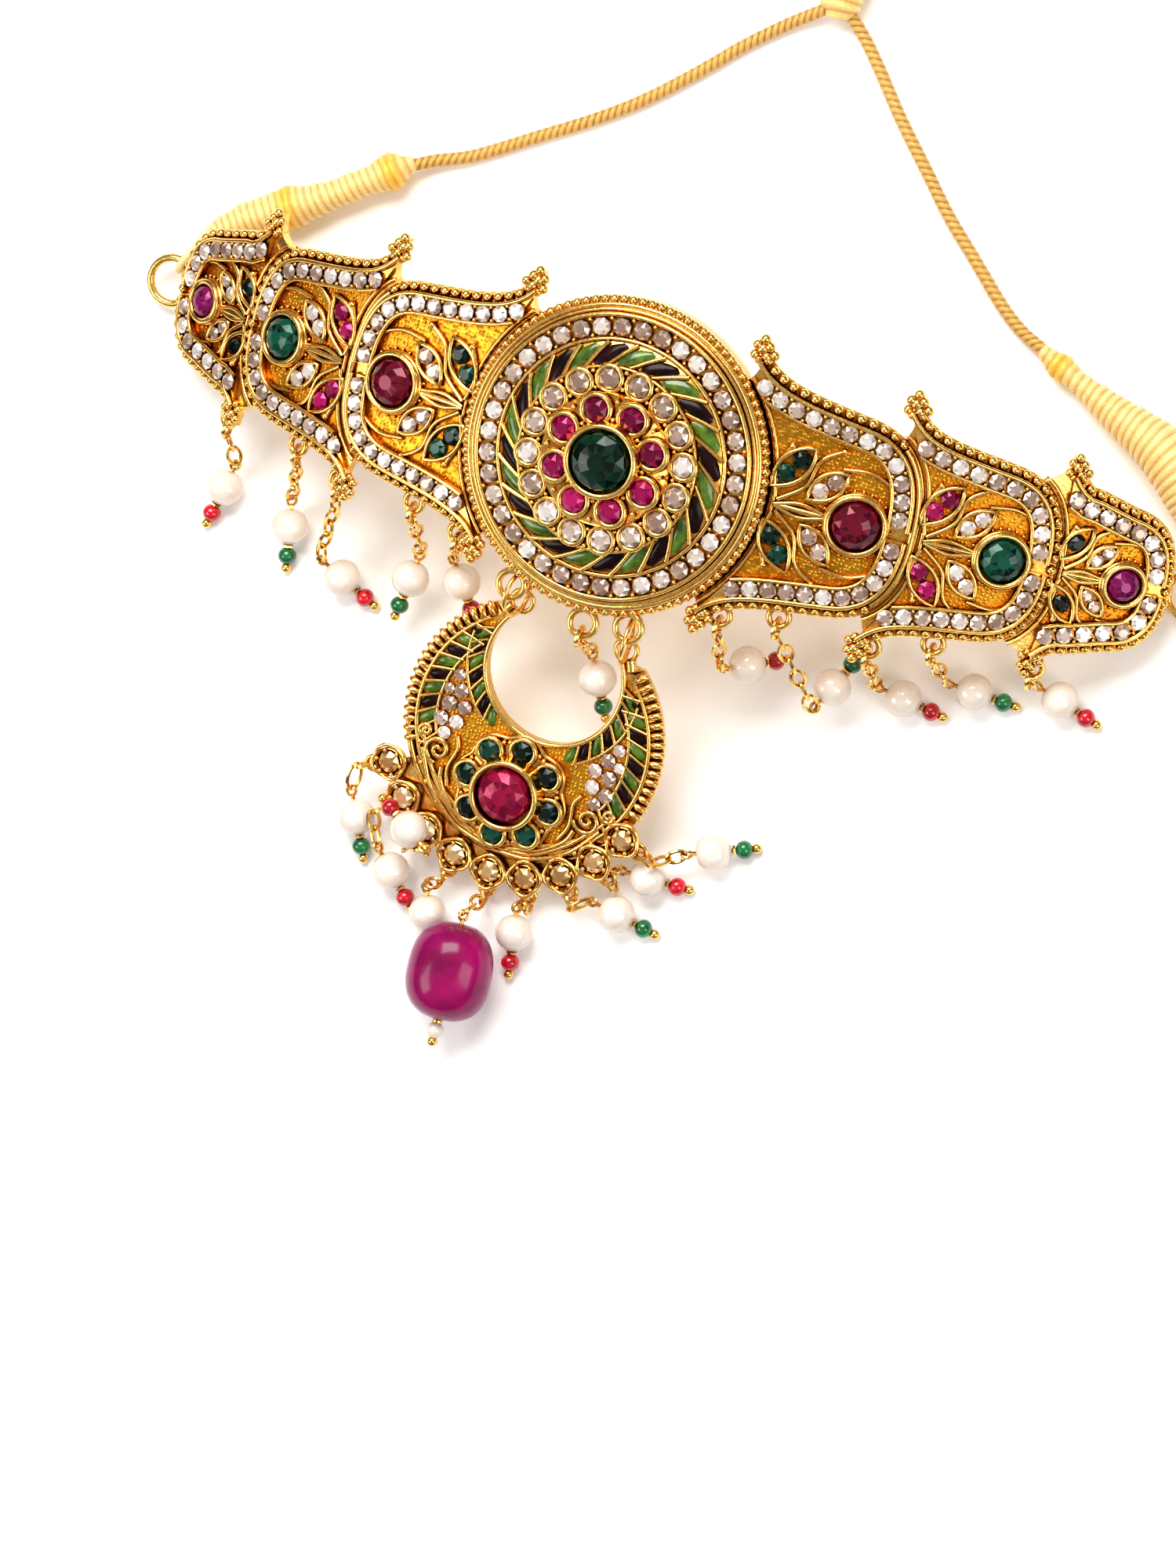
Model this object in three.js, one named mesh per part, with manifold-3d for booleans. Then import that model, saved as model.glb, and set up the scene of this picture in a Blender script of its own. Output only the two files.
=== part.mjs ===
// Gold armlet: a curved band of a round medallion and six plates, a crescent pendant, pearl drops
// and a thread cord that ties round the arm. Millimetres, +Z up, lying on a surface at Z = 0.
import * as THREE from 'three';
import { mergeVertices } from 'three/addons/utils/BufferGeometryUtils.js';
import Module from 'manifold-3d';

const wasm = await Module();
wasm.setup();

// Driving dimensions
const bandRadius = 115;                             // curve of the band round the arm
const bandTilt = THREE.MathUtils.degToRad(15);      // the cord's side of the band lies higher
const bandHeight = 23.9;                            // base of the medallion above the surface
const toOrigin = new THREE.Vector3(0, 22.97, 0);    // from the medallion's axis to the middle of the whole
const gap = 0.35;                                   // clearance between pieces that touch
const medallionRadius = 19.7;
const slabThick = 1.2;                              // back sheet of a plate
const ribbonHeight = 2.3;                           // top of the stone-set ribbons
const lowerScale = 0.92;                            // the lower half of a plate is slightly narrower
const endPower = 2.6;                               // roundness of a plate's outer end
const wireRadius = 0.35;
const pearlRadius = 2.4;
const beadRadius = 1.2;
const boreRadius = wireRadius + 0.4;
const dropRingRadius = 1.15;
const dropRingWire = 0.27;
const pendantSlope = THREE.MathUtils.degToRad(20);
const pendantLean = THREE.MathUtils.degToRad(-8);
const pendantCentre = new THREE.Vector3(-3.1, -35, 9.3);
const crescentRadius = 17;
const bayRadius = 9;
const bayCentre = 8.3;
const tipHeight = 13.5;
const flowerAt = -8.2;
const cupRadius = 1.9;
const cupDistance = 18;
const cupOrigin = new THREE.Vector3(-1.2, -1.2, 0);
const cupCount = 9;
const cupLoopRadius = 0.95;
const plateLoopRadius = 1.25;
const medallionLoopRadius = 1.7;
const tipLoopRadius = 1.4;
const cupStep = THREE.MathUtils.degToRad(15.5);
const cupMiddle = THREE.MathUtils.degToRad(-82.7);
const cordRadius = 0.85;
const endRingRadius = 2.95;
const endRingWire = 0.42;
const endRingPlace = new THREE.Vector3(69.2, 0, -22.1);   // tucked under the end of the last plate

// Each plate: crest tip and waist of its outer edge (along, across), then the rounded outer end
const plates = [
  { tip: [14.2, 19.4], waist: [21.5, 14.4], endAt: 27, endLong: 11.2, endWide: 13.2,
    stoneAt: 30.7, stoneRadius: 3.1, loops: [17.5, 24.5] },
  { tip: [33.7, 17.6], waist: [40.2, 12.9], endAt: 45.4, endLong: 10.2, endWide: 11.8,
    stoneAt: 48.8, stoneRadius: 2.75, loops: [36, 43.5] },
  { tip: [54.6, 14.5], waist: [59.3, 10.8], endAt: 61.6, endLong: 8.9, endWide: 9.6,
    stoneAt: 64.2, stoneRadius: 2.1, loops: [56.2] },
];

// Each drop on the band: plate, its loop, pearl centre, then the pin's heading and dip in degrees
const bandDrops = [
  { plate: 'r1', loop: 0, pearl: [20, -19, 8.5], heading: 30, dip: 35, bead: 'red' },
  { plate: 'r1', loop: 1, pearl: [30.3, -18.4, 5], heading: 70, dip: 15, bead: 'green' },
  { plate: 'r2', loop: 0, pearl: [38.7, -17, 2.5], heading: -7, dip: 18, bead: 'red' },
  { plate: 'r2', loop: 1, pearl: [47, -13.6, 2.5], heading: -1, dip: 18, bead: 'green' },
  { plate: 'r3', loop: 0, pearl: [57.6, -11.4, 2.5], heading: -16, dip: 18, bead: 'red' },
  { plate: 'l1', loop: 0, pearl: [-18, -20, 9.5], heading: -60, dip: 35, bead: 'red' },
  { plate: 'l1', loop: 1, pearl: [-25.6, -21.4, 6], heading: -101, dip: 20, bead: 'green' },
  { plate: 'l2', loop: 0, pearl: [-35.3, -23.8, 2.5], heading: -24, dip: 18, bead: 'red' },
  { plate: 'l2', loop: 1, pearl: [-44, -19.6, 2.5], heading: -82, dip: 18, bead: 'green' },
  { plate: 'l3', loop: 0, pearl: [-53.9, -17.4, 2.5], heading: -105, dip: 18, bead: 'red' },
];

// Each drop on the pendant: the cup it hangs from, then as above
const pendantDrops = [
  { cup: 0, pearl: [-23.7, -51.9, 2.5], heading: -66, dip: 18, bead: 'green' },
  { cup: 1, pearl: [-17.2, -57, 2.5], heading: -46, dip: 18, bead: 'red' },
  { cup: 2, pearl: [-14.8, -51.4, 8.8], heading: 150, dip: 8, bead: 'red' },
  { cup: 3, pearl: [-10.9, -60.6, 2.5], heading: -75, dip: 18, bead: 'green' },
  { cup: 5, pearl: [0.6, -59.6, 2.5], heading: -84, dip: 18, bead: 'red' },
  { cup: 6, pearl: [12.4, -53.4, 2.5], heading: -10, dip: 18, bead: 'green' },
  { cup: 7, pearl: [14.8, -47.9, 2.5], heading: 2, dip: 18, bead: 'red' },
  { cup: 8, pearl: [21.8, -42.3, 2.5], heading: 24, dip: 18, bead: 'green' },
];
const centreDrop = { pearl: [2.6, -26.3, 9.5], heading: -68, dip: 32, bead: 'green' };
const magentaDrop = { cup: 4, pearl: [-4.9, -66.6, 5.6], heading: -88, dip: 8 };
const magentaRadius = 5.5;
const magentaHalf = 6.3;
const tinyPearlRadius = 1.1;

// Routes of the wound sleeves and the cords, laid on the surface: [x, y, z]
const sleeveLeft = [[-66.5, 12.8, 2.6], [-60, 17.2, 2.9], [-54, 20.9, 2.9], [-44.2, 28.3, 2.6]];
const sleeveRight = [[69.4, 11.8, 3.1], [66.4, 16.8, 3.8], [61, 21.2, 4.1], [52.7, 24.6, 2.9], [42.4, 29, 1.8]];
const cordLeft = [[-43.6, 28.7, 2.2], [-41, 30.2, 1.6], [-37, 32, 1], [-29, 37.1, 0.9], [-23, 41, 0.9],
  [-17.6, 45.1, 0.9], [-12, 50.4, 0.9], [-7.2, 55.4, 0.9], [-2.4, 59.6, 1.2], [1.9, 62.6, 2.2]];
const cordRight = [[41.8, 29.4, 1.6], [38.5, 30.8, 1.1], [35.4, 32.8, 0.9], [29.4, 38, 0.9], [24.6, 42.2, 0.9],
  [20.2, 46.7, 0.9], [15, 52, 0.9], [10.3, 57.3, 0.9], [7.4, 60.4, 1.2], [5, 62.6, 2.2]];
const sliderRoute = [[3.5, 64, 2.75], [3.9, 67, 2.75], [4.4, 70.4, 2.75]];

const gold = new THREE.MeshStandardMaterial({ color: 0xd9962e, roughness: 0.28, metalness: 1 });
const pearl = new THREE.MeshStandardMaterial({ color: 0xf3ebe2, roughness: 0.22, metalness: 0.1 });
const redGlass = new THREE.MeshStandardMaterial({ color: 0x8e0f24, roughness: 0.12, metalness: 0 });
const greenGlass = new THREE.MeshStandardMaterial({ color: 0x06433a, roughness: 0.12, metalness: 0 });
const violetGlass = new THREE.MeshStandardMaterial({ color: 0x8c1560, roughness: 0.15, metalness: 0 });
const magentaStone = new THREE.MeshStandardMaterial({ color: 0xa0106e, roughness: 0.2, metalness: 0 });
const thread = new THREE.MeshStandardMaterial({ color: 0xe2b64f, roughness: 0.6, metalness: 0.3 });
const cabochonGlass = [redGlass, greenGlass, violetGlass];

// Booleans
function solidOf(geometry) {
  const bare = geometry.clone();
  bare.deleteAttribute('normal');
  bare.deleteAttribute('uv');
  const merged = mergeVertices(bare, 1e-4);
  return new wasm.Manifold(new wasm.Mesh({
    numProp: 3,
    vertProperties: new Float32Array(merged.attributes.position.array),
    triVerts: new Uint32Array(merged.index.array),
  }));
}

function union(geometries) {
  return geometries.map(solidOf).reduce((all, next) => all.add(next));
}

function geometryOf(solid) {
  const mesh = solid.getMesh();
  const geometry = new THREE.BufferGeometry();
  geometry.setAttribute('position', new THREE.BufferAttribute(mesh.vertProperties, 3));
  geometry.setIndex(new THREE.BufferAttribute(mesh.triVerts, 1));
  return geometry;
}

function joined(geometries) {
  return geometryOf(union(geometries));
}

// Shapes shared by several pieces
function turned(profile, segments) {                 // a lathe form with its axis along +Z
  const points = profile.map(([r, z]) => new THREE.Vector2(r, z));
  return new THREE.LatheGeometry(points, segments).rotateX(Math.PI / 2);
}

function slab(points, low, high, holes = []) {       // a flat outline raised from low to high
  const shape = new THREE.Shape(points.map(([x, y]) => new THREE.Vector2(x, y)));
  shape.holes = holes;
  return new THREE.ExtrudeGeometry(shape, { depth: high - low, bevelEnabled: false }).translate(0, 0, low);
}

function wire(from, to, radius) {                    // a straight wire of six sides
  const section = new THREE.Shape();
  section.absarc(0, 0, radius, 0, 2 * Math.PI);
  return new THREE.ExtrudeGeometry(section, {
    steps: 1, curveSegments: 3, bevelEnabled: false, extrudePath: new THREE.LineCurve3(from, to),
  });
}

function smoothPath(points) {
  return new THREE.CatmullRomCurve3(points.map((p) => new THREE.Vector3(...p)), false, 'centripetal');
}

function ring(radius, wireSize, centre, normal, round = 8, sides = 4) {
  const turn = new THREE.Quaternion().setFromUnitVectors(new THREE.Vector3(0, 0, 1), normal);
  return new THREE.TorusGeometry(radius, wireSize, sides, round).applyQuaternion(turn).translate(...centre);
}

// A round form of changing radius along a path, with closed ends
function wound(points, radii, sides, steps) {
  const path = smoothPath(points);
  const frames = path.computeFrenetFrames(steps);
  const positions = [];
  const faces = [];
  for (let i = 0; i <= steps; i++) {
    const at = path.getPointAt(i / steps);
    const place = (i / steps) * (radii.length - 1);
    const low = Math.min(Math.floor(place), radii.length - 2);
    const radius = THREE.MathUtils.lerp(radii[low], radii[low + 1], place - low);
    for (let j = 0; j < sides; j++) {
      const angle = (2 * Math.PI * j) / sides;
      const spot = at.clone()
        .addScaledVector(frames.normals[i], radius * Math.cos(angle))
        .addScaledVector(frames.binormals[i], radius * Math.sin(angle));
      positions.push(...spot);
    }
  }
  for (let i = 0; i < steps; i++) {
    for (let j = 0; j < sides; j++) {
      const a = i * sides + j;
      const b = i * sides + ((j + 1) % sides);
      faces.push(a, b, b + sides, a, b + sides, a + sides);
    }
  }
  const last = steps * sides;
  for (let j = 1; j < sides - 1; j++) faces.push(0, j + 1, j, last, last + j, last + j + 1);
  const geometry = new THREE.BufferGeometry();
  geometry.setAttribute('position', new THREE.Float32BufferAttribute(positions, 3));
  geometry.setIndex(faces);
  return geometry;
}

function meshOf(name, geometry, material) {
  const mesh = new THREE.Mesh(geometry, material);
  mesh.name = name;
  return mesh;
}

// The band: flat outlines (along, across, height) are curved round the arm
function bent(geometry) {
  const place = geometry.attributes.position;
  for (let i = 0; i < place.count; i++) {
    const angle = place.getX(i) / bandRadius;
    const reach = bandRadius + place.getZ(i);
    place.setXYZ(i, reach * Math.sin(angle), place.getY(i), reach * Math.cos(angle) - bandRadius);
  }
  return geometry;
}

function endPoint(plate, angle, width, extra = 0) {  // a point of the plate's rounded outer end
  const along = plate.endAt + (plate.endLong + extra) * Math.cos(angle) ** (2 / endPower);
  return [along, (plate.endWide * width + extra) * Math.sin(angle) ** (2 / endPower)];
}

function outerEdge(plate, width) {                   // from the crest tip round to the outer end
  const [tipAlong, tipAcross] = plate.tip;
  const shoulder = THREE.MathUtils.degToRad(80);
  const [joinAlong, joinAcross] = endPoint(plate, shoulder, width);
  const curve = new THREE.SplineCurve([
    new THREE.Vector2(tipAlong, tipAcross * width),
    new THREE.Vector2(tipAlong + 2.8, (tipAcross - 3.2) * width),
    new THREE.Vector2(plate.waist[0], plate.waist[1] * width),
    new THREE.Vector2(joinAlong, joinAcross),
  ]);
  const points = curve.getPoints(7).map((p) => [p.x, p.y]);
  for (let i = 1; i <= 6; i++) points.push(endPoint(plate, shoulder * (1 - i / 6), width));
  return points;
}

function innerEdge(index, width) {                   // hugs the medallion or the plate before it
  const points = [];
  const reach = THREE.MathUtils.degToRad(index === 0 ? 45 : 58);
  for (let i = 0; i <= 6; i++) {
    const angle = (reach * i) / 6;
    const round = medallionRadius + gap;
    points.push(index === 0
      ? [round * Math.cos(angle), round * Math.sin(angle)]
      : endPoint(plates[index - 1], angle, width, gap));
  }
  return points;
}

function crestSide(start, tip) {                     // the hollow side of a crest, up to its tip
  const length = Math.hypot(tip[0] - start[0], tip[1] - start[1]);
  return [1, 2, 3].map((k) => {
    const hollow = 0.9 * Math.sin((Math.PI * k) / 4) / length;
    return [start[0] + ((tip[0] - start[0]) * k) / 4 + (tip[1] - start[1]) * hollow,
      start[1] + ((tip[1] - start[1]) * k) / 4 - (tip[0] - start[0]) * hollow];
  });
}

function offset(points, distance) {                  // the same edge moved inwards
  return points.map(([x, y], i) => {
    const [ax, ay] = points[Math.max(i - 1, 0)];
    const [bx, by] = points[Math.min(i + 1, points.length - 1)];
    const length = Math.hypot(bx - ax, by - ay);
    return [x + ((by - ay) / length) * distance, y - ((bx - ax) / length) * distance];
  });
}

function edgeAcross(plate, along) {                  // the lower edge's place across the band
  const edge = outerEdge(plate, lowerScale);
  const i = edge.findIndex((p) => p[0] >= along);
  const [a, b] = [edge[i - 1], edge[i]];
  return -(a[1] + ((b[1] - a[1]) * (along - a[0])) / (b[0] - a[0]));
}

function loopPlace(plate, along) {
  return [along, edgeAcross(plate, along) - 0.9, 0.6];
}

function plateGeometry(index, way) {
  const plate = plates[index];
  const flip = (points, side) => points.map(([x, y]) => [way * x, side * y]);
  const halfOutline = (width) => {
    const inner = innerEdge(index, width);
    const outer = outerEdge(plate, width);
    return [...inner, ...crestSide(inner[inner.length - 1], outer[0]), ...outer];
  };
  const upper = halfOutline(1);
  const lower = halfOutline(lowerScale);
  const outline = [...flip(upper, 1), ...flip(lower.slice(1, -1).reverse(), -1)];
  const raised = [];
  for (const [side, width] of [[1, 1], [-1, lowerScale]]) {
    const edge = outerEdge(plate, width).slice(2, -1);
    const ribbon = [...offset(edge, 1.1), ...offset(edge, 3.6).reverse()];
    raised.push(slab(flip(ribbon, side), slabThick - 0.4, ribbonHeight));
  }
  const hole = new THREE.Path().absarc(way * plate.stoneAt, 0, plate.stoneRadius + gap, 0, 2 * Math.PI);
  const rim = [];
  for (let i = 0; i < 16; i++) {
    const angle = (Math.PI * i) / 8;
    const radius = plate.stoneRadius + gap + 0.6;
    rim.push([way * plate.stoneAt + radius * Math.cos(angle), radius * Math.sin(angle)]);
  }
  raised.push(slab(rim, slabThick - 0.4, ribbonHeight + 0.4, [hole]));
  const trimmed = union(raised).intersect(solidOf(slab(outline, 0, ribbonHeight + 1)));
  const loops = plate.loops.map((along) => {
    const [x, y, z] = loopPlace(plate, along);
    return ring(plateLoopRadius, 0.4, [way * x, y, z], new THREE.Vector3(0, 0, 1));
  });
  return bent(geometryOf(union([slab(outline, 0, slabThick), ...loops]).add(trimmed)));
}

function domed(radius, low, height) {                // a cabochon
  const profile = [[0, low], [radius, low]];
  for (let i = 0; i <= 3; i++) {
    const angle = (Math.PI / 2) * (i / 3);
    profile.push([radius * Math.cos(angle), low + 0.5 + (height - 0.5) * Math.sin(angle)]);
  }
  profile[profile.length - 1][0] = 0;
  return turned(profile, 16);
}

const bandGroup = new THREE.Group();
bandGroup.rotation.x = bandTilt;
bandGroup.position.z = bandHeight;
bandGroup.updateMatrix();

const medallion = turned([
  [0, 2.6], [4, 2.6], [7.5, 2.2], [11, 1.4], [14.5, 0.3], [17.6, -0.4], [medallionRadius, -0.4],
  [medallionRadius, 0.9], [17.7, 0.9], [17.4, 1.9], [14.7, 1.9], [14.4, 2.5], [11.6, 3.2], [11.3, 4.2],
  [8.6, 4.4], [8, 5.2], [5, 5.4], [4.6, 6.4], [4.05, 6.4], [4.05, 5], [0, 5],
], 28);
const medallionLoops = [-25, 3, 19].map((degrees) => {
  const angle = THREE.MathUtils.degToRad(degrees);
  const reach = medallionRadius + 1.55;
  return new THREE.Vector3(reach * Math.sin(angle), -reach * Math.cos(angle), 0.3);
});
bandGroup.add(meshOf('centre_medallion', joined([
  medallion,
  ...medallionLoops.map((spot) => ring(medallionLoopRadius, 0.45, spot.toArray(), new THREE.Vector3(0, 0, 1))),
]), gold));
bandGroup.add(meshOf('centre_stone', turned([[0, 5.35], [3.7, 5.35], [3.7, 6.2], [2.3, 7.3], [0, 7.3]], 16),
  greenGlass));

for (const [side, way] of [['r', 1], ['l', -1]]) {
  plates.forEach((plate, index) => {
    bandGroup.add(meshOf(`plate_${side}${index + 1}`, plateGeometry(index, way), gold));
    const stone = domed(plate.stoneRadius, slabThick + gap, 1.7 + plate.stoneRadius * 0.35);
    bandGroup.add(meshOf(`cabochon_${side}${index + 1}`, bent(stone.translate(way * plate.stoneAt, 0, 0)),
      cabochonGlass[index]));
  });
  const centre = [way * endRingPlace.x, endRingPlace.y, endRingPlace.z];
  bandGroup.add(meshOf(`end_ring_${side}`,
    ring(endRingRadius, endRingWire, centre, new THREE.Vector3(0, 0, 1), 18, 6), gold));
}

// The pendant, flat in its own group: X across, Y towards the medallion, Z out of its face
const pendantGroup = new THREE.Group();
pendantGroup.rotation.set(pendantSlope, 0, pendantLean);
pendantGroup.position.copy(pendantCentre);
pendantGroup.updateMatrix();

const tipAngle = Math.asin(tipHeight / crescentRadius);
const bayAngle = Math.asin((tipHeight - bayCentre) / bayRadius);
const crescent = new THREE.Shape();
crescent.absarc(0, 0, crescentRadius, tipAngle, Math.PI - tipAngle, true);
crescent.absarc(0, bayCentre, bayRadius, Math.PI - bayAngle, 2 * Math.PI + bayAngle, false);
const crescentParts = [
  new THREE.ExtrudeGeometry(crescent, { depth: 1.6, bevelEnabled: false, curveSegments: 12 }).translate(0, 0, -0.8),
  turned([[0, 0.2], [7.3, 0.2], [7.3, 1.8], [4.6, 2.4], [4.5, 3.4], [3.9, 3.4], [3.9, 1.9], [0, 1.9]], 20)
    .translate(0, flowerAt, 0),
];
const firstCup = cupMiddle - ((cupCount - 1) / 2) * cupStep;
const lastCup = cupMiddle + ((cupCount - 1) / 2) * cupStep;
const collar = new THREE.Shape();                    // the sheet that carries the cups
collar.absarc(cupOrigin.x, cupOrigin.y, cupDistance, firstCup, lastCup, false);
collar.absarc(cupOrigin.x, cupOrigin.y, cupDistance - 5, lastCup, firstCup, true);
crescentParts.push(new THREE.ExtrudeGeometry(collar, { depth: 1.1, bevelEnabled: false, curveSegments: 10 })
  .translate(0, 0, -0.75));
const cupLoops = [];
for (let i = 0; i < cupCount; i++) {
  const angle = firstCup + i * cupStep;
  const out = new THREE.Vector3(Math.cos(angle), Math.sin(angle), 0);
  const cup = turned([[0, -0.8], [cupRadius, -0.8], [cupRadius, 1.5], [0, 1.5]], 8);
  crescentParts.push(cup.translate(...cupOrigin.clone().addScaledVector(out, cupDistance)));
  const loop = cupOrigin.clone().addScaledVector(out, cupDistance + cupRadius + 0.6);
  crescentParts.push(ring(cupLoopRadius, 0.3, loop.toArray(), new THREE.Vector3(0, 0, 1)));
  cupLoops.push(loop);
}
const tipLoops = [-1, 1].map((way) => new THREE.Vector3(way * 7.3, tipHeight + 1.5, 0));
tipLoops.forEach((loop) => crescentParts.push(ring(tipLoopRadius, 0.35, loop.toArray(), new THREE.Vector3(0, 0, 1))));
pendantGroup.add(meshOf('crescent_pendant', joined(crescentParts), gold));
pendantGroup.add(meshOf('pendant_ruby',
  turned([[0, 2.25], [3.5, 2.25], [3.5, 3.2], [2.2, 4.2], [0, 4.2]], 16).translate(0, flowerAt, 0), redGlass));

// Rings that carry the pendant, each round the outer wire of a medallion loop and of a tip loop
const carriers = new THREE.Group();
[['hanger_link_l', 0, 0], ['hanger_link_r', 2, 1]].forEach(([name, upper, lower]) => {
  const top = medallionLoops[upper].clone().add(new THREE.Vector3(0, -medallionLoopRadius, 0))
    .applyMatrix4(bandGroup.matrix);
  const foot = tipLoops[lower].clone().add(new THREE.Vector3(0, tipLoopRadius, 0))
    .applyMatrix4(pendantGroup.matrix);
  const down = foot.clone().sub(top);
  const normal = new THREE.Vector3(1, 0, 0).addScaledVector(down, -down.x / down.lengthSq()).normalize();
  const middle = top.clone().add(foot).multiplyScalar(0.5);
  carriers.add(meshOf(name, ring(down.length() / 2 + 0.82, 0.28, middle.toArray(), normal, 14, 5), gold));
});

// Drops: rings and pin along one line to the pearl, then the small bead and the ball end
function boredPearl(radius, half, power) {
  const profile = [];
  for (let i = 0; i <= 6; i++) {
    const height = -half + (2 * half * i) / 6;
    const round = radius * (1 - Math.abs(height / half) ** power) ** (1 / power);
    profile.push([Math.max(round, boreRadius + 0.25), height]);
  }
  return turned([[boreRadius, -half], ...profile, [boreRadius, half], [boreRadius, -half]], 10);
}

function placed(geometry, centre, direction) {
  const turn = new THREE.Quaternion().setFromUnitVectors(new THREE.Vector3(0, 0, 1), direction);
  return geometry.applyQuaternion(turn).translate(...centre);
}

// loop: its centre, wire radius and outward and upward directions, in the frame of the whole
function loopOf(centre, radius, out, matrix) {
  return {
    at: centre.clone().applyMatrix4(matrix),
    radius,
    out: out.clone().transformDirection(matrix),
    up: new THREE.Vector3(0, 0, 1).transformDirection(matrix),
  };
}

function dropPieces({ pearl: place, heading, dip }, loop, half, beadSize) {
  const centre = new THREE.Vector3(...place);
  const turn = THREE.MathUtils.degToRad(heading);
  const fall = THREE.MathUtils.degToRad(dip);
  const along = new THREE.Vector3(
    Math.cos(turn) * Math.cos(fall), Math.sin(turn) * Math.cos(fall), -Math.sin(fall));
  const eye = centre.clone().addScaledVector(along, -half - 1.3);
  const bead = centre.clone().addScaledVector(along, half + beadSize + 0.25);
  const end = bead.clone().addScaledVector(along, beadSize + 0.4);
  const hook = loop.at.clone().addScaledVector(loop.out, loop.radius);   // the loop's wire inside the ring
  const ringNormal = new THREE.Vector3().crossVectors(loop.out, loop.up).normalize();
  const away = eye.clone().sub(hook).projectOnPlane(ringNormal).normalize();
  const ringCentre = hook.clone().addScaledVector(away, 0.25);
  const far = ringCentre.clone().addScaledVector(away, dropRingRadius);
  const toEye = eye.clone().sub(far).normalize().multiplyScalar(0.2);
  const metal = [
    ring(dropRingRadius, dropRingWire, ringCentre.toArray(), ringNormal),
    wire(far, eye.clone().add(toEye), wireRadius),
    wire(eye.clone().addScaledVector(along, -0.2), end, wireRadius),
    new THREE.SphereGeometry(beadSize, 7, 4).translate(...bead),
    new THREE.SphereGeometry(0.65, 5, 3).translate(...end),
  ];
  return { centre, along, metal };
}

const drops = new THREE.Group();
const towardsHand = new THREE.Vector3(0, -1, 0);
bandDrops.forEach((drop) => {
  const way = drop.plate[0] === 'r' ? 1 : -1;
  const plate = plates[Number(drop.plate[1]) - 1];
  const [along, across, height] = loopPlace(plate, plate.loops[drop.loop]);
  const angle = (way * along) / bandRadius;
  const reach = bandRadius + height;
  const centre = new THREE.Vector3(reach * Math.sin(angle), across, reach * Math.cos(angle) - bandRadius);
  const loop = loopOf(centre, plateLoopRadius, towardsHand, bandGroup.matrix);
  const pieces = dropPieces(drop, loop, pearlRadius, beadRadius);
  const bead = placed(new THREE.SphereGeometry(pearlRadius, 10, 6), pieces.centre, pieces.along);
  drops.add(meshOf(`drop_${drop.plate}_${drop.loop + 1}`, joined([...pieces.metal, bead]), pearl));
});

function addBoredDrop(name, drop, loop) {
  const { centre, along, metal } = dropPieces(drop, loop, pearlRadius, beadRadius);
  drops.add(meshOf(`${name}_pin`, joined(metal), gold));
  drops.add(meshOf(`${name}_pearl`, placed(boredPearl(pearlRadius, pearlRadius, 2), centre, along), pearl));
}
const cupLoop = (cup) => loopOf(cupLoops[cup], cupLoopRadius,
  cupLoops[cup].clone().sub(cupOrigin).normalize(), pendantGroup.matrix);
pendantDrops.forEach((drop) => addBoredDrop(`drop_c${drop.cup + 1}`, drop, cupLoop(drop.cup)));
addBoredDrop('drop_centre', centreDrop,
  loopOf(medallionLoops[1], medallionLoopRadius, towardsHand, bandGroup.matrix));

const magenta = dropPieces(magentaDrop, cupLoop(magentaDrop.cup), magentaHalf, tinyPearlRadius);
drops.add(meshOf('magenta_pin', joined(magenta.metal), gold));
drops.add(meshOf('magenta_bead',
  placed(boredPearl(magentaRadius, magentaHalf, 2.5), magenta.centre, magenta.along), magentaStone));

// The cord: wound sleeves tied to the end rings, two cords and the knot where they meet
const cord = new THREE.Group();
const sleeveLeftRadii = [1.1, 1.9, 2.4, 2.5, 2.9, 2.4, 1.9, 1.9, 1.9, 2.5, 1.7];
const sleeveRightRadii = [1.6, 3.2, 3.8, 3.8, 3.5, 3, 2.5, 2, 1.5, 1.7, 1.2];
cord.add(meshOf('wound_sleeve_l', wound(sleeveLeft, sleeveLeftRadii, 10, 12), thread));
cord.add(meshOf('wound_sleeve_r', wound(sleeveRight, sleeveRightRadii, 10, 12), thread));
cord.add(meshOf('slider_knot', wound(sliderRoute, [2.2, 2.6, 2.6, 2.3, 1.4], 10, 8), thread));
[['cord_left', cordLeft], ['cord_right', cordRight]].forEach(([name, route]) => {
  const section = new THREE.Shape();
  section.absarc(0, 0, cordRadius, 0, 2 * Math.PI);
  cord.add(meshOf(name, new THREE.ExtrudeGeometry(section, {
    steps: 16, curveSegments: 4, bevelEnabled: false, extrudePath: smoothPath(route),
  }), thread));
});

const group = new THREE.Group();
group.position.copy(toOrigin);
group.add(bandGroup, pendantGroup, carriers, drops, cord);

export default group;
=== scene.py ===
import math
import random

import bmesh
import bpy
from mathutils import Matrix, Quaternion, Vector
from mathutils.geometry import delaunay_2d_cdt


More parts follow.
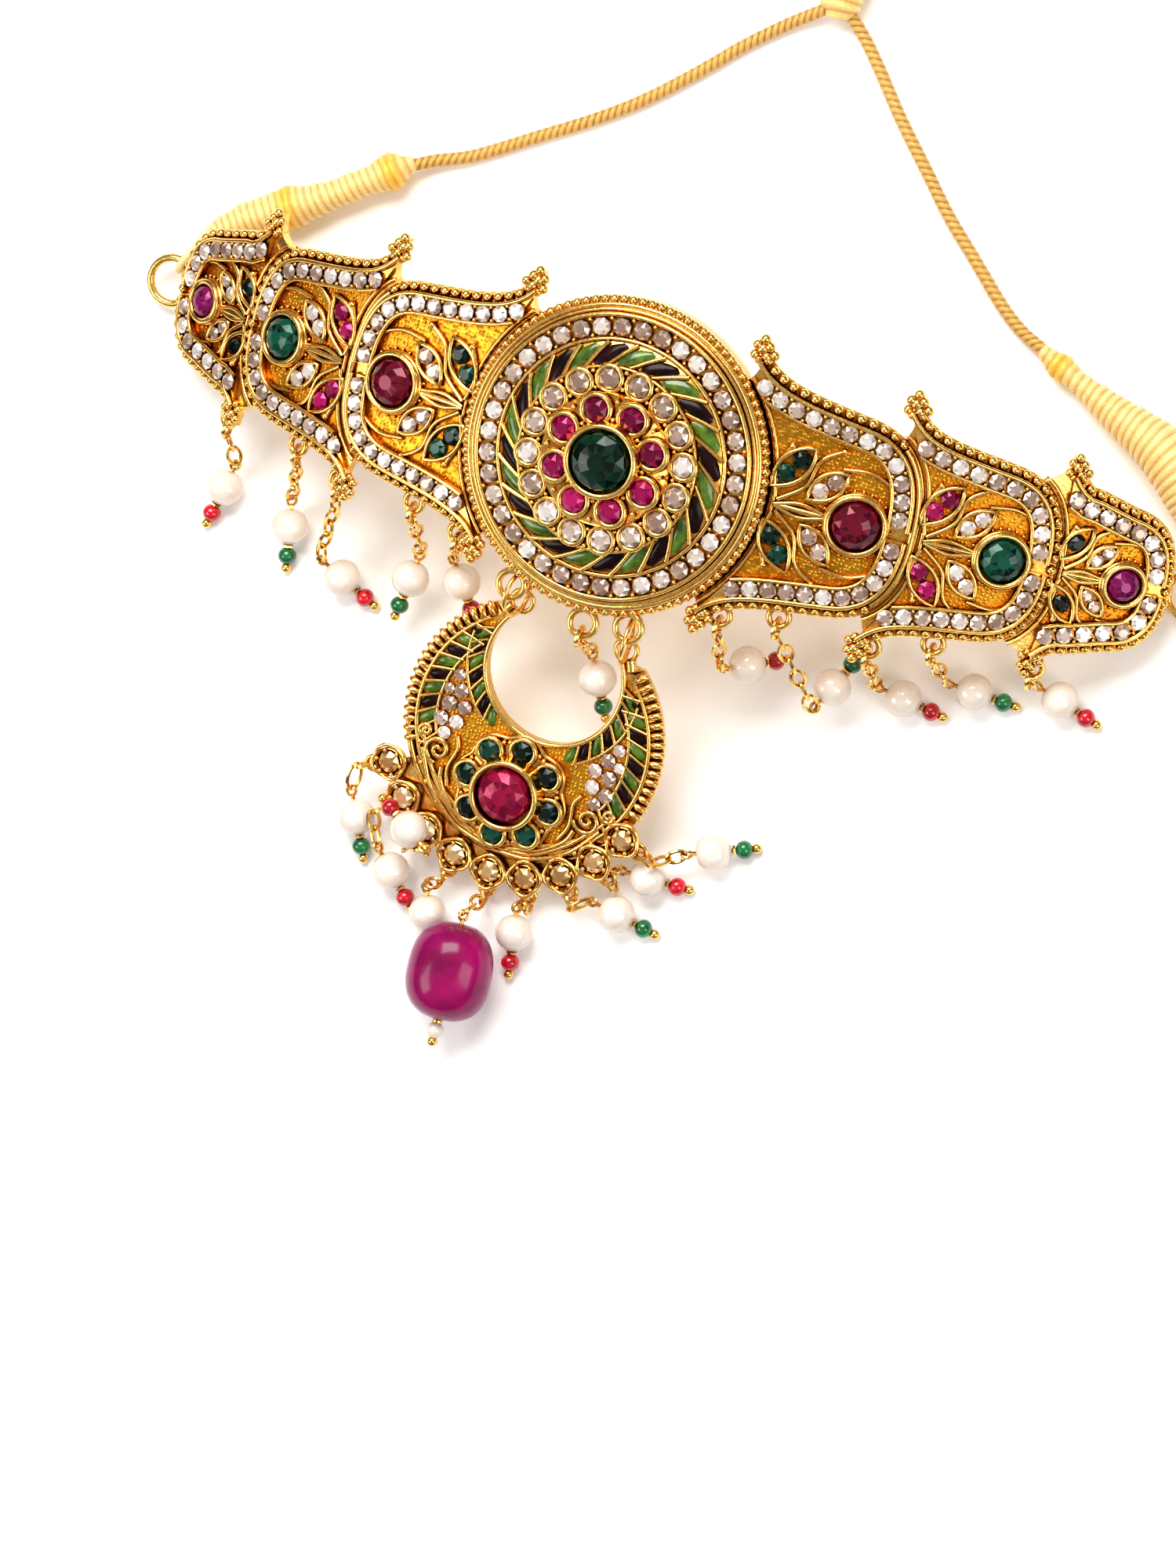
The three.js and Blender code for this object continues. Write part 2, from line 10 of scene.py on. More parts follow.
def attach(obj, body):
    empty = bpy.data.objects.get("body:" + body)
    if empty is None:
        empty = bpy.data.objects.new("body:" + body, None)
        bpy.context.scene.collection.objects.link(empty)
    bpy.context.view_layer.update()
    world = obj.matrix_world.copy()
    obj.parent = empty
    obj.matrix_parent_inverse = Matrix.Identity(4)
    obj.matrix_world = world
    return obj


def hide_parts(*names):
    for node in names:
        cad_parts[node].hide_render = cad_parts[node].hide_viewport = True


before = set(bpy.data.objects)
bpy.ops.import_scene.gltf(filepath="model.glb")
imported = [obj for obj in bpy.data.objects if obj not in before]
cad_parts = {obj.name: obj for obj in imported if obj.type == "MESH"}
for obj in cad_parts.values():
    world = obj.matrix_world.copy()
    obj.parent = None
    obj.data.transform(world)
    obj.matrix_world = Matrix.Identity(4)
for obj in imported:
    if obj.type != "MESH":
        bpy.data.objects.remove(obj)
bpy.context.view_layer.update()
mm = 0.001                                  # sizes below are in millimetres
print("frame loaded:", len(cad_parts), "nodes")

# the band bends round the arm, the medallion lies flat in it, and the pendant leans on the surface
band = {"radius": 115, "tilt": math.radians(15), "base": 23.9, "shift": 22.97, "gap": 0.35}
hanging = {"slope": math.radians(20), "lean": math.radians(-8), "centre": Vector((-3.1, -35, 9.3))}


def discSpot(x, y, z):                      # flat in the band's tilted frame
    spot = Vector((x, y, z))
    spot.rotate(Quaternion((1, 0, 0), band["tilt"]))
    return (spot + Vector((0, band["shift"], band["base"]))) * mm


def bandSpot(along, across, height):        # bent round the arm
    angle = along / band["radius"]
    reach = band["radius"] + height
    return discSpot(reach * math.sin(angle), across, reach * math.cos(angle) - band["radius"])


def pendantSpot(x, y, z):
    spot = Vector((x, y, z))
    spot.rotate(Quaternion((0, 0, 1), hanging["lean"]))
    spot.rotate(Quaternion((1, 0, 0), hanging["slope"]))
    return (spot + hanging["centre"] + Vector((0, band["shift"], 0))) * mm


def tableSpot(x, y, z):                     # beside the band, on the surface
    return Vector((x, y + band["shift"], z)) * mm


def objectFrom(name, data):
    made = bpy.data.objects.new(name, data)
    bpy.context.scene.collection.objects.link(made)
    return made


view = {
    "right": Vector((0.9191, 0.3109, -0.2421)), "up": Vector((-0.2854, 0.9488, 0.1352)),
    "back": Vector((0.2718, -0.0552, 0.9607)), "distance": 0.9, "lens": 225.3,
    "sideways": -0.00321, "upwards": -0.04031, "over": (0, 0, 25),
}


def placeCamera():
    data = bpy.data.cameras.new("camera")
    data.lens = view["lens"]
    data.sensor_width = 36
    data.sensor_fit = "HORIZONTAL"
    data.clip_start = 0.01
    camera = objectFrom("camera", data)
    aim = view["right"] * view["sideways"] + view["up"] * view["upwards"] - view["back"] * view["distance"]
    back = -aim.normalized()
    right = view["up"].cross(back).normalized()
    up = back.cross(right)
    place = tableSpot(*view["over"]) + view["back"] * view["distance"]
    camera.matrix_world = Matrix.Translation(place) @ Matrix((right, up, back)).transposed().to_4x4()
    bpy.context.scene.camera = camera


placeCamera()


def fill(tree, node, *fed, **values):
    # fed goes to the first sockets in order; a value is a setting, a socket's value or what leads to it
    for name in [name for name in values if hasattr(node, name)]:
        setattr(node, name, values.pop(name))
    for place, value in [*enumerate(fed), *values.items()]:
        socket = node.inputs[place if isinstance(place, int) else place.replace("_", " ")]
        if isinstance(value, bpy.types.Node):
            value = value.outputs[0]
        if isinstance(value, bpy.types.NodeSocket):
            tree.links.new(value, socket)
        else:
            socket.default_value = value
    return node


def addNode(tree, kind, *fed, **values):
    return fill(tree, tree.nodes.new(kind), *fed, **values)


def rampOf(tree, share, *stops):            # stops: place and colour
    ramp = addNode(tree, "ShaderNodeValToRGB", share)
    elements = ramp.color_ramp.elements
    while len(elements) < len(stops):
        elements.new(0.5)
    for element, (place, color) in zip(elements, stops):
        element.position, element.color = place, (*color, 1)
    return ramp


def blended(tree, share, first, second, kind="MIX"):
    return addNode(tree, "ShaderNodeMixRGB", share, first, second, blend_type=kind)


studio = {
    "floorColor": (0.93, 0.925, 0.92, 1), "floorSide": 3.0, "worldColor": (1.0, 0.985, 0.96),
    "horizonColor": (0.10, 0.07, 0.05), "worldStrength": 0.42, "backdropColor": (0.80, 0.79, 0.78, 1),
    "glowColor": (1.0, 0.99, 0.98, 1), "glowFrom": 0.35, "glowTo": 1.1, "glowNear": 0.12, "glowFar": 0.46,
    "lamps": [  # name, place, size, watts, colour
        ("overhead", (-0.12, 0.30, 0.55), (0.45, 0.30), 4.6, (1.0, 0.97, 0.93)),
        ("side", (0.55, -0.10, 0.45), (0.25, 0.45), 1.6, (1.0, 0.96, 0.92)),
        ("front", (-0.47, -0.32, 0.48), (0.35, 0.32), 1.85, (1.0, 0.98, 0.96)),
    ],
}


def placeLamps():
    for name, place, size, watts, color in studio["lamps"]:
        data = bpy.data.lights.new(name, "AREA")
        data.shape = "RECTANGLE"
        data.size, data.size_y = size
        data.energy = watts
        data.color = color
        lamp = objectFrom(name, data)
        lamp.location = place
        lamp.rotation_euler = (-Vector(place)).to_track_quat("-Z", "Y").to_euler()
    world = bpy.data.worlds.new("studio")
    world.use_nodes = True
    tree = world.node_tree
    place = addNode(tree, "ShaderNodeSeparateXYZ", addNode(tree, "ShaderNodeTexCoord").outputs["Generated"])
    glow = rampOf(tree, place.outputs["Z"], (0.12, studio["horizonColor"]), (0.72, studio["worldColor"]))
    sky = fill(tree, tree.nodes["Background"], Color=glow, Strength=studio["worldStrength"])
    # the camera meets a pale backdrop; the gradient above only lights and shines
    backdrop = addNode(tree, "ShaderNodeBackground", Color=studio["backdropColor"])
    sight = addNode(tree, "ShaderNodeLightPath").outputs["Is Camera Ray"]
    fill(tree, tree.nodes["World Output"], Surface=addNode(tree, "ShaderNodeMixShader", sight, sky, backdrop))
    bpy.context.scene.world = world
    bpy.context.scene.view_settings.view_transform = "Standard"


placeLamps()
print("camera and lamps placed")


def newMaterial(name, **values):
    material = bpy.data.materials.new(name)
    material.use_nodes = True
    tree = material.node_tree
    return material, tree, fill(tree, tree.nodes["Principled BSDF"], **values)


def dress(tree, shader, color, rough, height, strength, distance):
    bump = addNode(tree, "ShaderNodeBump", Strength=strength, Distance=distance, Height=height)
    fill(tree, shader, Base_Color=color, Roughness=rough, Normal=bump)


def unevenGroup():                          # cloudy and fine unevenness, shared by every finish
    tree = bpy.data.node_groups.new("uneven", "ShaderNodeTree")
    for name, value in (("Cloud Scale", 220.0), ("Grain Scale", 3000.0), ("Low", 0.0), ("High", 1.0)):
        tree.interface.new_socket(name, in_out="INPUT", socket_type="NodeSocketFloat").default_value = value
    for name in ("Mask", "Grain"):
        tree.interface.new_socket(name, in_out="OUTPUT", socket_type="NodeSocketFloat")
    enter = tree.nodes.new("NodeGroupInput").outputs
    place = addNode(tree, "ShaderNodeTexCoord").outputs["Object"]
    cloud = addNode(tree, "ShaderNodeTexNoise", place, Scale=enter["Cloud Scale"], Detail=3.0, Roughness=0.6)
    grain = addNode(tree, "ShaderNodeTexNoise", place, Scale=enter["Grain Scale"], Detail=2.0)
    mask = addNode(tree, "ShaderNodeMapRange", cloud, From_Min=0.3, From_Max=0.7, To_Min=enter["Low"],
                   To_Max=enter["High"])
    addNode(tree, "NodeGroupOutput", mask, grain)
    return tree


uneven = unevenGroup()


def addUneven(tree, **values):
    node = addNode(tree, "ShaderNodeGroup", node_tree=uneven)
    return fill(tree, node, **values).outputs


def markOf(tree, name):                     # a number that the mesh carries
    return addNode(tree, "ShaderNodeAttribute", attribute_name=name).outputs["Fac"]


def goldMaterial(name, bright, deep, hollow, rough, bump, punched=0.0):
    # painted light and shade by ambient occlusion: bright on what stands proud, deeper between the ornaments,
    # darkest in the hollows
    material, tree, shader = newMaterial(name, Metallic=1.0)
    wear = addUneven(tree, Cloud_Scale=260.0, Grain_Scale=2600.0, Low=rough - 0.05, High=rough + 0.07)
    shade = addNode(tree, "ShaderNodeAmbientOcclusion", samples=6, Distance=0.0014).outputs["AO"]
    tones = rampOf(tree, shade, (0.22, hollow), (0.52, deep), (0.88, bright))
    cloud = rampOf(tree, wear["Grain"], (0.38, (0.62, 0.42, 0.24)), (0.60, (1.0, 1.0, 1.0)))
    color, height = blended(tree, 0.5, tones, cloud, "MULTIPLY"), wear["Grain"]
    if punched:                             # small punched dimples, as on a matted ground; the colour is also darkened where the dimpled surface lies lower, a painted shade
        place = addNode(tree, "ShaderNodeTexCoord").outputs["Object"]
        dots = addNode(tree, "ShaderNodeTexVoronoi", place, Scale=2100.0, Randomness=0.55)
        height = addNode(tree, "ShaderNodeMapRange", dots, From_Min=0.05, From_Max=0.5, To_Min=1.0,
                         To_Max=1.0 - punched)
        color = blended(tree, 0.4, color, height, "MULTIPLY")
    dress(tree, shader, color, wear["Mask"], height, bump, 0.00008)
    return material


def cutGlass(name, slot, dark, middle, light, metallic=0.2, rough=0.08, coat=0.1, ior=1.35):
    # every facet gets a brightness of its own at random, and every stone another set of them: painted
    # sparkle, as light plays in cut facets
    material, tree, shader = newMaterial(name, Metallic=metallic, Coat_Weight=coat, Coat_Roughness=0.03,
                                         IOR=ior)
    clouds = addUneven(tree, Cloud_Scale=900.0, Low=-0.12, High=0.12)
    total = addNode(tree, "ShaderNodeMath", markOf(tree, "facet"), markOf(tree, "paintedSparkle"), operation="ADD")
    wrapped = addNode(tree, "ShaderNodeMath", total, 1.0, operation="PINGPONG")
    paintedSparkle = addNode(tree, "ShaderNodeMath", wrapped, clouds["Mask"], operation="ADD")
    fill(tree, shader, Base_Color=rampOf(tree, paintedSparkle, (0.12, dark), (0.55, middle), (0.9, light)),
         Roughness=addNode(tree, "ShaderNodeMapRange", clouds["Grain"], To_Min=rough, To_Max=rough + 0.06))
    return material, slot


def glossyMaterial(name, dark, light, rough, coat, scale, bump=0.05, rim=None, **more):
    # enamel, glass beads and pearls: one colour that drifts between two tones
    material, tree, shader = newMaterial(name, Coat_Weight=coat, Coat_Roughness=0.05, **more)
    clouds = addUneven(tree, Cloud_Scale=scale, Grain_Scale=scale * 6)
    color = rampOf(tree, clouds["Mask"], (0.1, dark), (0.9, light))
    if rim:                                 # painted edge shading: by facing, the colour turns towards another tint at the outline, darker on the pearls and violet on the magenta stone
        edge = addNode(tree, "ShaderNodeLayerWeight", Blend=0.35).outputs["Facing"]
        color = blended(tree, edge, color, (*rim, 1))
    gloss = addNode(tree, "ShaderNodeMapRange", clouds["Grain"], To_Min=rough - 0.03, To_Max=rough + 0.05)
    dress(tree, shader, color, gloss, clouds["Grain"], bump, 0.0001)
    return material


def threadMaterial(name, pale, bright, shadow):
    # wound metallic thread: tint says how bright the yellow is; groove is painted shade, darkening the colour
    # between the turns
    material, tree, shader = newMaterial(name, Metallic=0.25, Sheen_Weight=0.3, Sheen_Roughness=0.4)
    fibres = addUneven(tree, Cloud_Scale=700.0, Grain_Scale=5200.0, Low=0.42, High=0.62)
    yellow = blended(tree, markOf(tree, "tint"), (*pale, 1), (*bright, 1))
    shaded = blended(tree, markOf(tree, "groove"), yellow, (*shadow, 1))
    spots = rampOf(tree, fibres["Grain"], (0.38, (0.72, 0.58, 0.36)), (0.58, (1.0, 1.0, 1.0)))
    color = blended(tree, 0.5, shaded, spots, "MULTIPLY")
    dress(tree, shader, color, fibres["Mask"], fibres["Grain"], 0.6, 0.00012)
    return material


# each gold's three colours: the open parts, then the painted shade between the ornaments, then the darkest
# painted shade in the hollows
gold = goldMaterial("polishedGold", (1.0, 0.68, 0.20), (1.0, 0.43, 0.055), (0.08, 0.015, 0.002), 0.19, 0.16)
fieldGold = goldMaterial("amberField", (1.0, 0.47, 0.035), (1.0, 0.29, 0.010), (0.26, 0.030, 0.002),
                         0.30, 1.0, 0.75)
# dark, middle and light facet colours of each glass: their spread over the facets is painted sparkle
clearGlass = cutGlass("clearCutGlass", "clear_glass", (0.34, 0.21, 0.15), (0.70, 0.53, 0.43),
                      (0.97, 0.92, 0.87), 0.5, 0.07, 0.6, 1.7)
champagneGlass = cutGlass("champagneCutGlass", "clear_glass", (0.46, 0.22, 0.06), (0.84, 0.54, 0.22),
                          (1.0, 0.86, 0.54), 0.6, 0.07, 0.6, 1.6)
rubyGlass = cutGlass("rubyCutGlass", "red_glass", (0.09, 0.0, 0.018), (0.27, 0.001, 0.06),
                     (0.50, 0.008, 0.13), 0.3, 0.1, 0.1, 1.4)
crimsonGlass = cutGlass("crimsonCutGlass", "red_glass", (0.05, 0.0, 0.006), (0.155, 0.0008, 0.022),
                        (0.33, 0.004, 0.046), 0.3, 0.1)
garnetGlass = cutGlass("garnetCutGlass", "red_glass", (0.016, 0.0, 0.002), (0.05, 0.0005, 0.006),
                       (0.15, 0.002, 0.018))
greenGlass = cutGlass("greenCutGlass", "green_glass", (0.0, 0.002, 0.001), (0.0005, 0.012, 0.007),
                      (0.004, 0.075, 0.042))
deepGreenGlass = cutGlass("deepGreenCutGlass", "green_glass", (0.0, 0.001, 0.0006), (0.0002, 0.005, 0.003),
                          (0.001, 0.026, 0.012))
violetGlass = cutGlass("violetCutGlass", "violet_glass", (0.03, 0.0, 0.012), (0.09, 0.001, 0.036),
                       (0.22, 0.006, 0.10))
greenEnamel = glossyMaterial("greenEnamel", (0.014, 0.050, 0.002), (0.10, 0.19, 0.008), 0.16, 0.25, 600.0)
darkEnamel = glossyMaterial("darkEnamel", (0.003, 0.0005, 0.001), (0.016, 0.003, 0.004), 0.2, 0.05, 600.0,
                            IOR=1.22)
# the rim colour (0.66, 0.50, 0.39) is the painted shade at the pearls' edge
pearlShell = glossyMaterial("pearlShell", (0.82, 0.72, 0.63), (0.95, 0.90, 0.83), 0.15, 0.85, 260.0, 0.03,
                            (0.66, 0.50, 0.39), Sheen_Weight=0.15)
redBead = glossyMaterial("redGlassBead", (0.30, 0.0, 0.006), (0.72, 0.004, 0.02), 0.1, 0.4, 500.0)
greenBead = glossyMaterial("greenGlassBead", (0.0, 0.06, 0.015), (0.003, 0.22, 0.055), 0.1, 0.4, 500.0)
# the rim colour (0.22, 0.003, 0.10) is a painted violet tint at the stone's edge
magentaStone = glossyMaterial("magentaStone", (0.16, 0.001, 0.045), (0.36, 0.002, 0.11), 0.2, 0.14, 160.0,
                              0.04, (0.22, 0.003, 0.10), IOR=1.3)
goldThread = threadMaterial("goldThread", (1.0, 0.84, 0.40), (1.0, 0.60, 0.02), (0.70, 0.37, 0.055))
cordThread = threadMaterial("cordThread", (0.78, 0.50, 0.14), (0.76, 0.37, 0.02), (0.24, 0.10, 0.012))
print("materials made")


def placeFloor():                           # the floor glows though it is no lamp, a painted light: a little everywhere, which lightens the shadows cast on it, and more far from the lamps, so that it stays pale
    material, tree, shader = newMaterial("whiteSurface", Roughness=0.6, Base_Color=studio["floorColor"],
                                         Emission_Color=studio["glowColor"])
    place = addNode(tree, "ShaderNodeTexCoord").outputs["Object"]
    far = addNode(tree, "ShaderNodeVectorMath", place, operation="LENGTH").outputs["Value"]
    glow = addNode(tree, "ShaderNodeMapRange", far, studio["glowFrom"], studio["glowTo"], studio["glowNear"],
                   studio["glowFar"], interpolation_type="SMOOTHSTEP")
    fill(tree, shader, Emission_Strength=glow)
    mesh = bpy.data.meshes.new("surface")
    side = studio["floorSide"]
    corners = [(x * side, y * side, 0) for x, y in ((-1, -1), (1, -1), (1, 1), (-1, 1))]
    mesh.from_pydata(corners, [], [(0, 1, 2, 3)])
    mesh.materials.append(material)
    objectFrom("surface", mesh)


placeFloor()


def newShape():
    return {"points": [], "faces": [], "slots": []}


def addFaces(shape, points, faces, slot=0):
    first = len(shape["points"])
    shape["points"].extend(points)
    shape["faces"].extend([tuple(first + i for i in face) for face in faces])
    shape["slots"].extend([slot] * len(faces))


def addRows(shape, rows, capped=True):      # a skin over closed rows of the same number of points
    count, last = len(rows[0]), (len(rows) - 1) * len(rows[0])
    faces = [(i + j, i + (j + 1) % count, i + (j + 1) % count + count, i + j + count)
             for i in range(0, last, count) for j in range(count)]
    if capped:
        faces += [tuple(reversed(range(count))), tuple(range(last, last + count))]
    addFaces(shape, [p for row in rows for p in row], faces)


def polar(radius, angle, x=0, y=0):
    return x + radius * math.cos(angle), y + radius * math.sin(angle)


def arc(radius, degrees, x=0, y=0):         # points on a circle at the given angles
    return [polar(radius, math.radians(a), x, y) for a in degrees]


def circle(x, y, radius, count):
    return arc(radius, [360.0 * i / count for i in range(count)], x, y)


def around(radius, count, shift=0.0, x=0, y=0):  # equal steps round a circle, with their angles
    angles = [2 * math.pi * (i + shift) / count for i in range(count)]
    return [(*polar(radius, a, x, y), a) for a in angles]


def addTurned(shape, profile, segments, place, x=0, y=0):
    addRows(shape, [[place(px, py, height) for px, py, _ in around(radius, segments, 0.0, x, y)]
                    for radius, height in profile], capped=False)


def inside(x, y, loop):
    within = False
    for (ax, ay), (bx, by) in zip(loop, loop[1:] + loop[:1]):
        if (ay > y) != (by > y) and x < (bx - ax) * (y - ay) / (by - ay) + ax:
            within = not within
    return within


def nearEdge(x, y, loop, distance):
    for (ax, ay), (bx, by) in zip(loop, loop[1:] + loop[:1]):
        dx, dy = bx - ax, by - ay
        t = max(0, min(1, ((x - ax) * dx + (y - ay) * dy) / (dx * dx + dy * dy + 1e-12)))
        if math.hypot(ax + t * dx - x, ay + t * dy - y) < distance:
            return True
    return False


def addSheet(shape, outline, low, high, place, step=1.3, slot=0):
    # a flat outline with a thickness; high may be a rule that varies over the sheet
    points = [Vector(p) for p in outline]
    edges = [(i, (i + 1) % len(outline)) for i in range(len(outline))]
    xs, ys = [p[0] for p in outline], [p[1] for p in outline]
    for i in range(int((max(xs) - min(xs)) / step) + 1):
        for j in range(int((max(ys) - min(ys)) / step) + 1):
            x, y = min(xs) + (i + 0.5) * step, min(ys) + (j + 0.5) * step
            if inside(x, y, outline) and not nearEdge(x, y, outline, step * 0.45):
                points.append(Vector((x, y)))
    flat, _, made = delaunay_2d_cdt(points, edges, [], 0, 1e-6)[:3]
    triangles = [tuple(face) for face in made
                 if inside(*(sum(flat[i][axis] for i in face) / len(face) for axis in (0, 1)), outline)]
    count = len(flat)
    topOf = high if callable(high) else (lambda x, y: high)
    spots = [place(p.x, p.y, topOf(p.x, p.y)) for p in flat] + [place(p.x, p.y, low) for p in flat]
    sides = [side for face in triangles for side in zip(face, face[1:] + face[:1])]
    rim = set(sides)
    faces = triangles + [tuple(i + count for i in reversed(face)) for face in triangles]
    faces += [(b, a, a + count, b + count) for a, b in sides if (b, a) not in rim]
    addFaces(shape, spots, faces, slot)


def outward(mesh, clean=False):             # faces point outwards; clean closes seams and poles first
    work = bmesh.new()
    work.from_mesh(mesh)
    if clean:
        bmesh.ops.remove_doubles(work, verts=work.verts, dist=2e-7)
        bmesh.ops.dissolve_degenerate(work, edges=work.edges, dist=1e-7)
        bmesh.ops.delete(work, geom=[v for v in work.verts if not v.link_faces], context="VERTS")
    bmesh.ops.recalc_face_normals(work, faces=work.faces)
    work.to_mesh(mesh)
    work.free()


def smoothen(mesh, sharp=None):
    mesh.polygons.foreach_set("use_smooth", [True] * len(mesh.polygons))
    if sharp:
        mesh.set_sharp_from_angle(angle=math.radians(sharp))


def pieceFrom(name, shape, materials, sharp=38):
    mesh = bpy.data.meshes.new(name)
    mesh.from_pydata(shape["points"], [], shape["faces"])
    for material in materials:
        mesh.materials.append(material)
    mesh.polygons.foreach_set("material_index", shape["slots"])
    outward(mesh, clean=True)
    smoothen(mesh, sharp)
    return objectFrom(name, mesh)


def joinPieces(name, pieces):
    first = pieces[0]
    with bpy.context.temp_override(active_object=first, object=first, selected_objects=pieces,
                                   selected_editable_objects=pieces):
        bpy.ops.object.join()
    first.name = name
    first.data.name = name
    return first


def settle(piece, slot, *nodes):            # the last step of every piece
    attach(piece, "root")
    if nodes:
        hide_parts(*nodes)


# Geometry Nodes: shapes set at points or in rows along a path, and wire
def newTree(name, *inputs):
    tree = bpy.data.node_groups.new(name, "GeometryNodeTree")
    kinds = {"Geometry": "NodeSocketGeometry", "Shape": "NodeSocketObject", "Material": "NodeSocketMaterial"}
    for socket in ("Geometry", *inputs, "Material"):
        tree.interface.new_socket(socket, in_out="INPUT", socket_type=kinds.get(socket, "NodeSocketFloat"))
    tree.interface.new_socket("Geometry", in_out="OUTPUT", socket_type="NodeSocketGeometry")
    return tree, tree.nodes.new("NodeGroupInput").outputs


def named(tree, name, kind="FLOAT_VECTOR"):
    return addNode(tree, "GeometryNodeInputNamedAttribute", data_type=kind, Name=name).outputs["Attribute"]


def closeTree(tree, enter, geometry):
    whole = addNode(tree, "GeometryNodeRealizeInstances", geometry)
    painted = addNode(tree, "GeometryNodeSetMaterial", whole, Material=enter["Material"])
    addNode(tree, "NodeGroupOutput", painted)
    return tree


def putShapes(tree, enter, points, heading, scale):  # each shape faces outwards and along its heading
    shape = addNode(tree, "GeometryNodeObjectInfo", Object=enter["Shape"]).outputs["Geometry"]
    upright = addNode(tree, "FunctionNodeAlignRotationToVector", axis="Z", Vector=named(tree, "facing"))
    turned = addNode(tree, "FunctionNodeAlignRotationToVector", axis="X", pivot_axis="Z", Rotation=upright,
                     Vector=heading)
    put = addNode(tree, "GeometryNodeInstanceOnPoints", points, Instance=shape, Rotation=turned, Scale=scale)
    return closeTree(tree, enter, put)


def settingTree():                          # a shape at every point, each with its own size
    tree, enter = newTree("shapesSetInPlace", "Shape", "Size")
    scale = addNode(tree, "ShaderNodeVectorMath", named(tree, "size"), operation="SCALE", Scale=enter["Size"])
    return putShapes(tree, enter, enter["Geometry"], named(tree, "heading"), scale)


def rowTree():                              # a shape at equal steps along each path
    tree, enter = newTree("rowAlongPath", "Shape", "Size", "Pitch")
    path = addNode(tree, "GeometryNodeMeshToCurve", enter["Geometry"])
    steps = addNode(tree, "GeometryNodeResampleCurve", path, mode="LENGTH", Length=enter["Pitch"])
    return putShapes(tree, enter, steps, addNode(tree, "GeometryNodeInputTangent"), enter["Size"])


def wireTree():                             # round wire along each path, with its own radius
    tree, enter = newTree("wireAlongPath", "Sides")
    path = addNode(tree, "GeometryNodeMeshToCurve", enter["Geometry"])
    ring = addNode(tree, "GeometryNodeCurvePrimitiveCircle", enter["Sides"], Radius=1.0)
    skin = addNode(tree, "GeometryNodeCurveToMesh", path, ring, named(tree, "wire", "FLOAT"), Fill_Caps=True)
    return closeTree(tree, enter, skin)


trees = {"setting": settingTree(), "row": rowTree(), "wire": wireTree()}


def grow(name, source, tree, sharp=None, **inputs):
    # run one tree on a source mesh and keep the result as a plain mesh
    host = objectFrom(name + "Source", source)
    modifier = host.modifiers.new("shape", "NODES")
    modifier.node_group = tree
    for item in tree.interface.items_tree:
        if item.in_out == "INPUT" and item.name in inputs:
            modifier[item.identifier] = inputs[item.name]
    graph = bpy.context.evaluated_depsgraph_get()
    graph.update()
    mesh = bpy.data.meshes.new_from_object(host.evaluated_get(graph), depsgraph=graph)
    host.modifiers.remove(modifier)
    bpy.data.objects.remove(host)
    if sharp:
        smoothen(mesh, sharp)
    else:
        mesh.polygons.foreach_set("use_smooth", [False] * len(mesh.polygons))
    return objectFrom(name, mesh)


def carry(mesh, name, values):              # a number or a vector for every point
    single = isinstance(values[0], float)
    marks = mesh.attributes.new(name, "FLOAT" if single else "FLOAT_VECTOR", "POINT").data
    marks.foreach_set(*(("value", values) if single else ("vector", [c for v in values for c in v])))


def pathMesh(paths):                        # each path: points, facing directions, closed or not, radius
    points, edges, facings, radii = [], [], [], []
    for path in paths:
        first, count = len(points), len(path["points"])
        points += path["points"]
        edges += [(first + i, first + i + 1) for i in range(count - 1)]
        if path.get("closed"):
            edges.append((first + count - 1, first))
        facings += path.get("facings") or [Vector((0, 0, 1))] * count
        radii += [path["radius"] * mm] * count
    mesh = bpy.data.meshes.new("paths")
    mesh.from_pydata(points, edges, [])
    carry(mesh, "facing", facings)
    carry(mesh, "wire", radii)
    return mesh


def wirePiece(name, paths, material=gold, sides=8):
    return grow(name, pathMesh(paths), trees["wire"], 50, Sides=sides, Material=material)


def rowPiece(name, paths, size, pitch):     # a row of gold grains
    return grow(name, pathMesh(paths), trees["row"], 60, Shape=shapes["grain"], Size=size * mm,
                Pitch=pitch * mm, Material=gold)


def setPiece(name, spots, shape, material, sharp=None):
    mesh = bpy.data.meshes.new("spots")
    mesh.from_pydata([s["at"] for s in spots], [], [])
    for key in ("facing", "heading", "size"):
        carry(mesh, key, [s[key] for s in spots])
    # a random shift of each stone's facet brightness, the painted sparkle that cut glass reads
    draw = random.Random(len(spots) + len(name))
    carry(mesh, "paintedSparkle", [draw.uniform(0, 2) for _ in spots])
    return grow(name, mesh, trees["setting"], sharp, Shape=shapes[shape], Size=mm, Material=material)


def goldSet(name, spots, shape="ball"):     # grains or balls of gold
    return setPiece(name, spots, shape, gold, 60)


def setStones(name, spots, glass, *nodes, shape="smallStone"):
    material, slot = glass
    settle(setPiece(name, spots, shape, material), slot, *nodes)


def spotOf(at, facing, heading, size):
    return {"at": at, "facing": facing, "heading": heading,
            "size": size if isinstance(size, tuple) else (size, size, size)}


def spotAt(place, x, y, z, size=1, turn=0.0):
    # a point on a curved surface with its outward direction and a heading in it
    at = place(x, y, z)
    return spotOf(at, (place(x, y, z + 1) - at).normalized(),
                  (place(*polar(1, turn, x, y), z) - at).normalized(), size)


def axisSpot(centre, along, size):
    return spotOf(centre, along, along.orthogonal().normalized(), size)


def pathOn(place, points, height, radius=0.3, closed=False):
    # points (x, y) or (x, y, z above height) laid on a curved surface
    spots = [place(p[0], p[1], height + (p[2] if len(p) > 2 else 0)) for p in points]
    facings = [(place(p[0], p[1], height + 1) - place(p[0], p[1], height)).normalized() for p in points]
    return {"points": spots, "facings": facings, "closed": closed, "radius": radius}


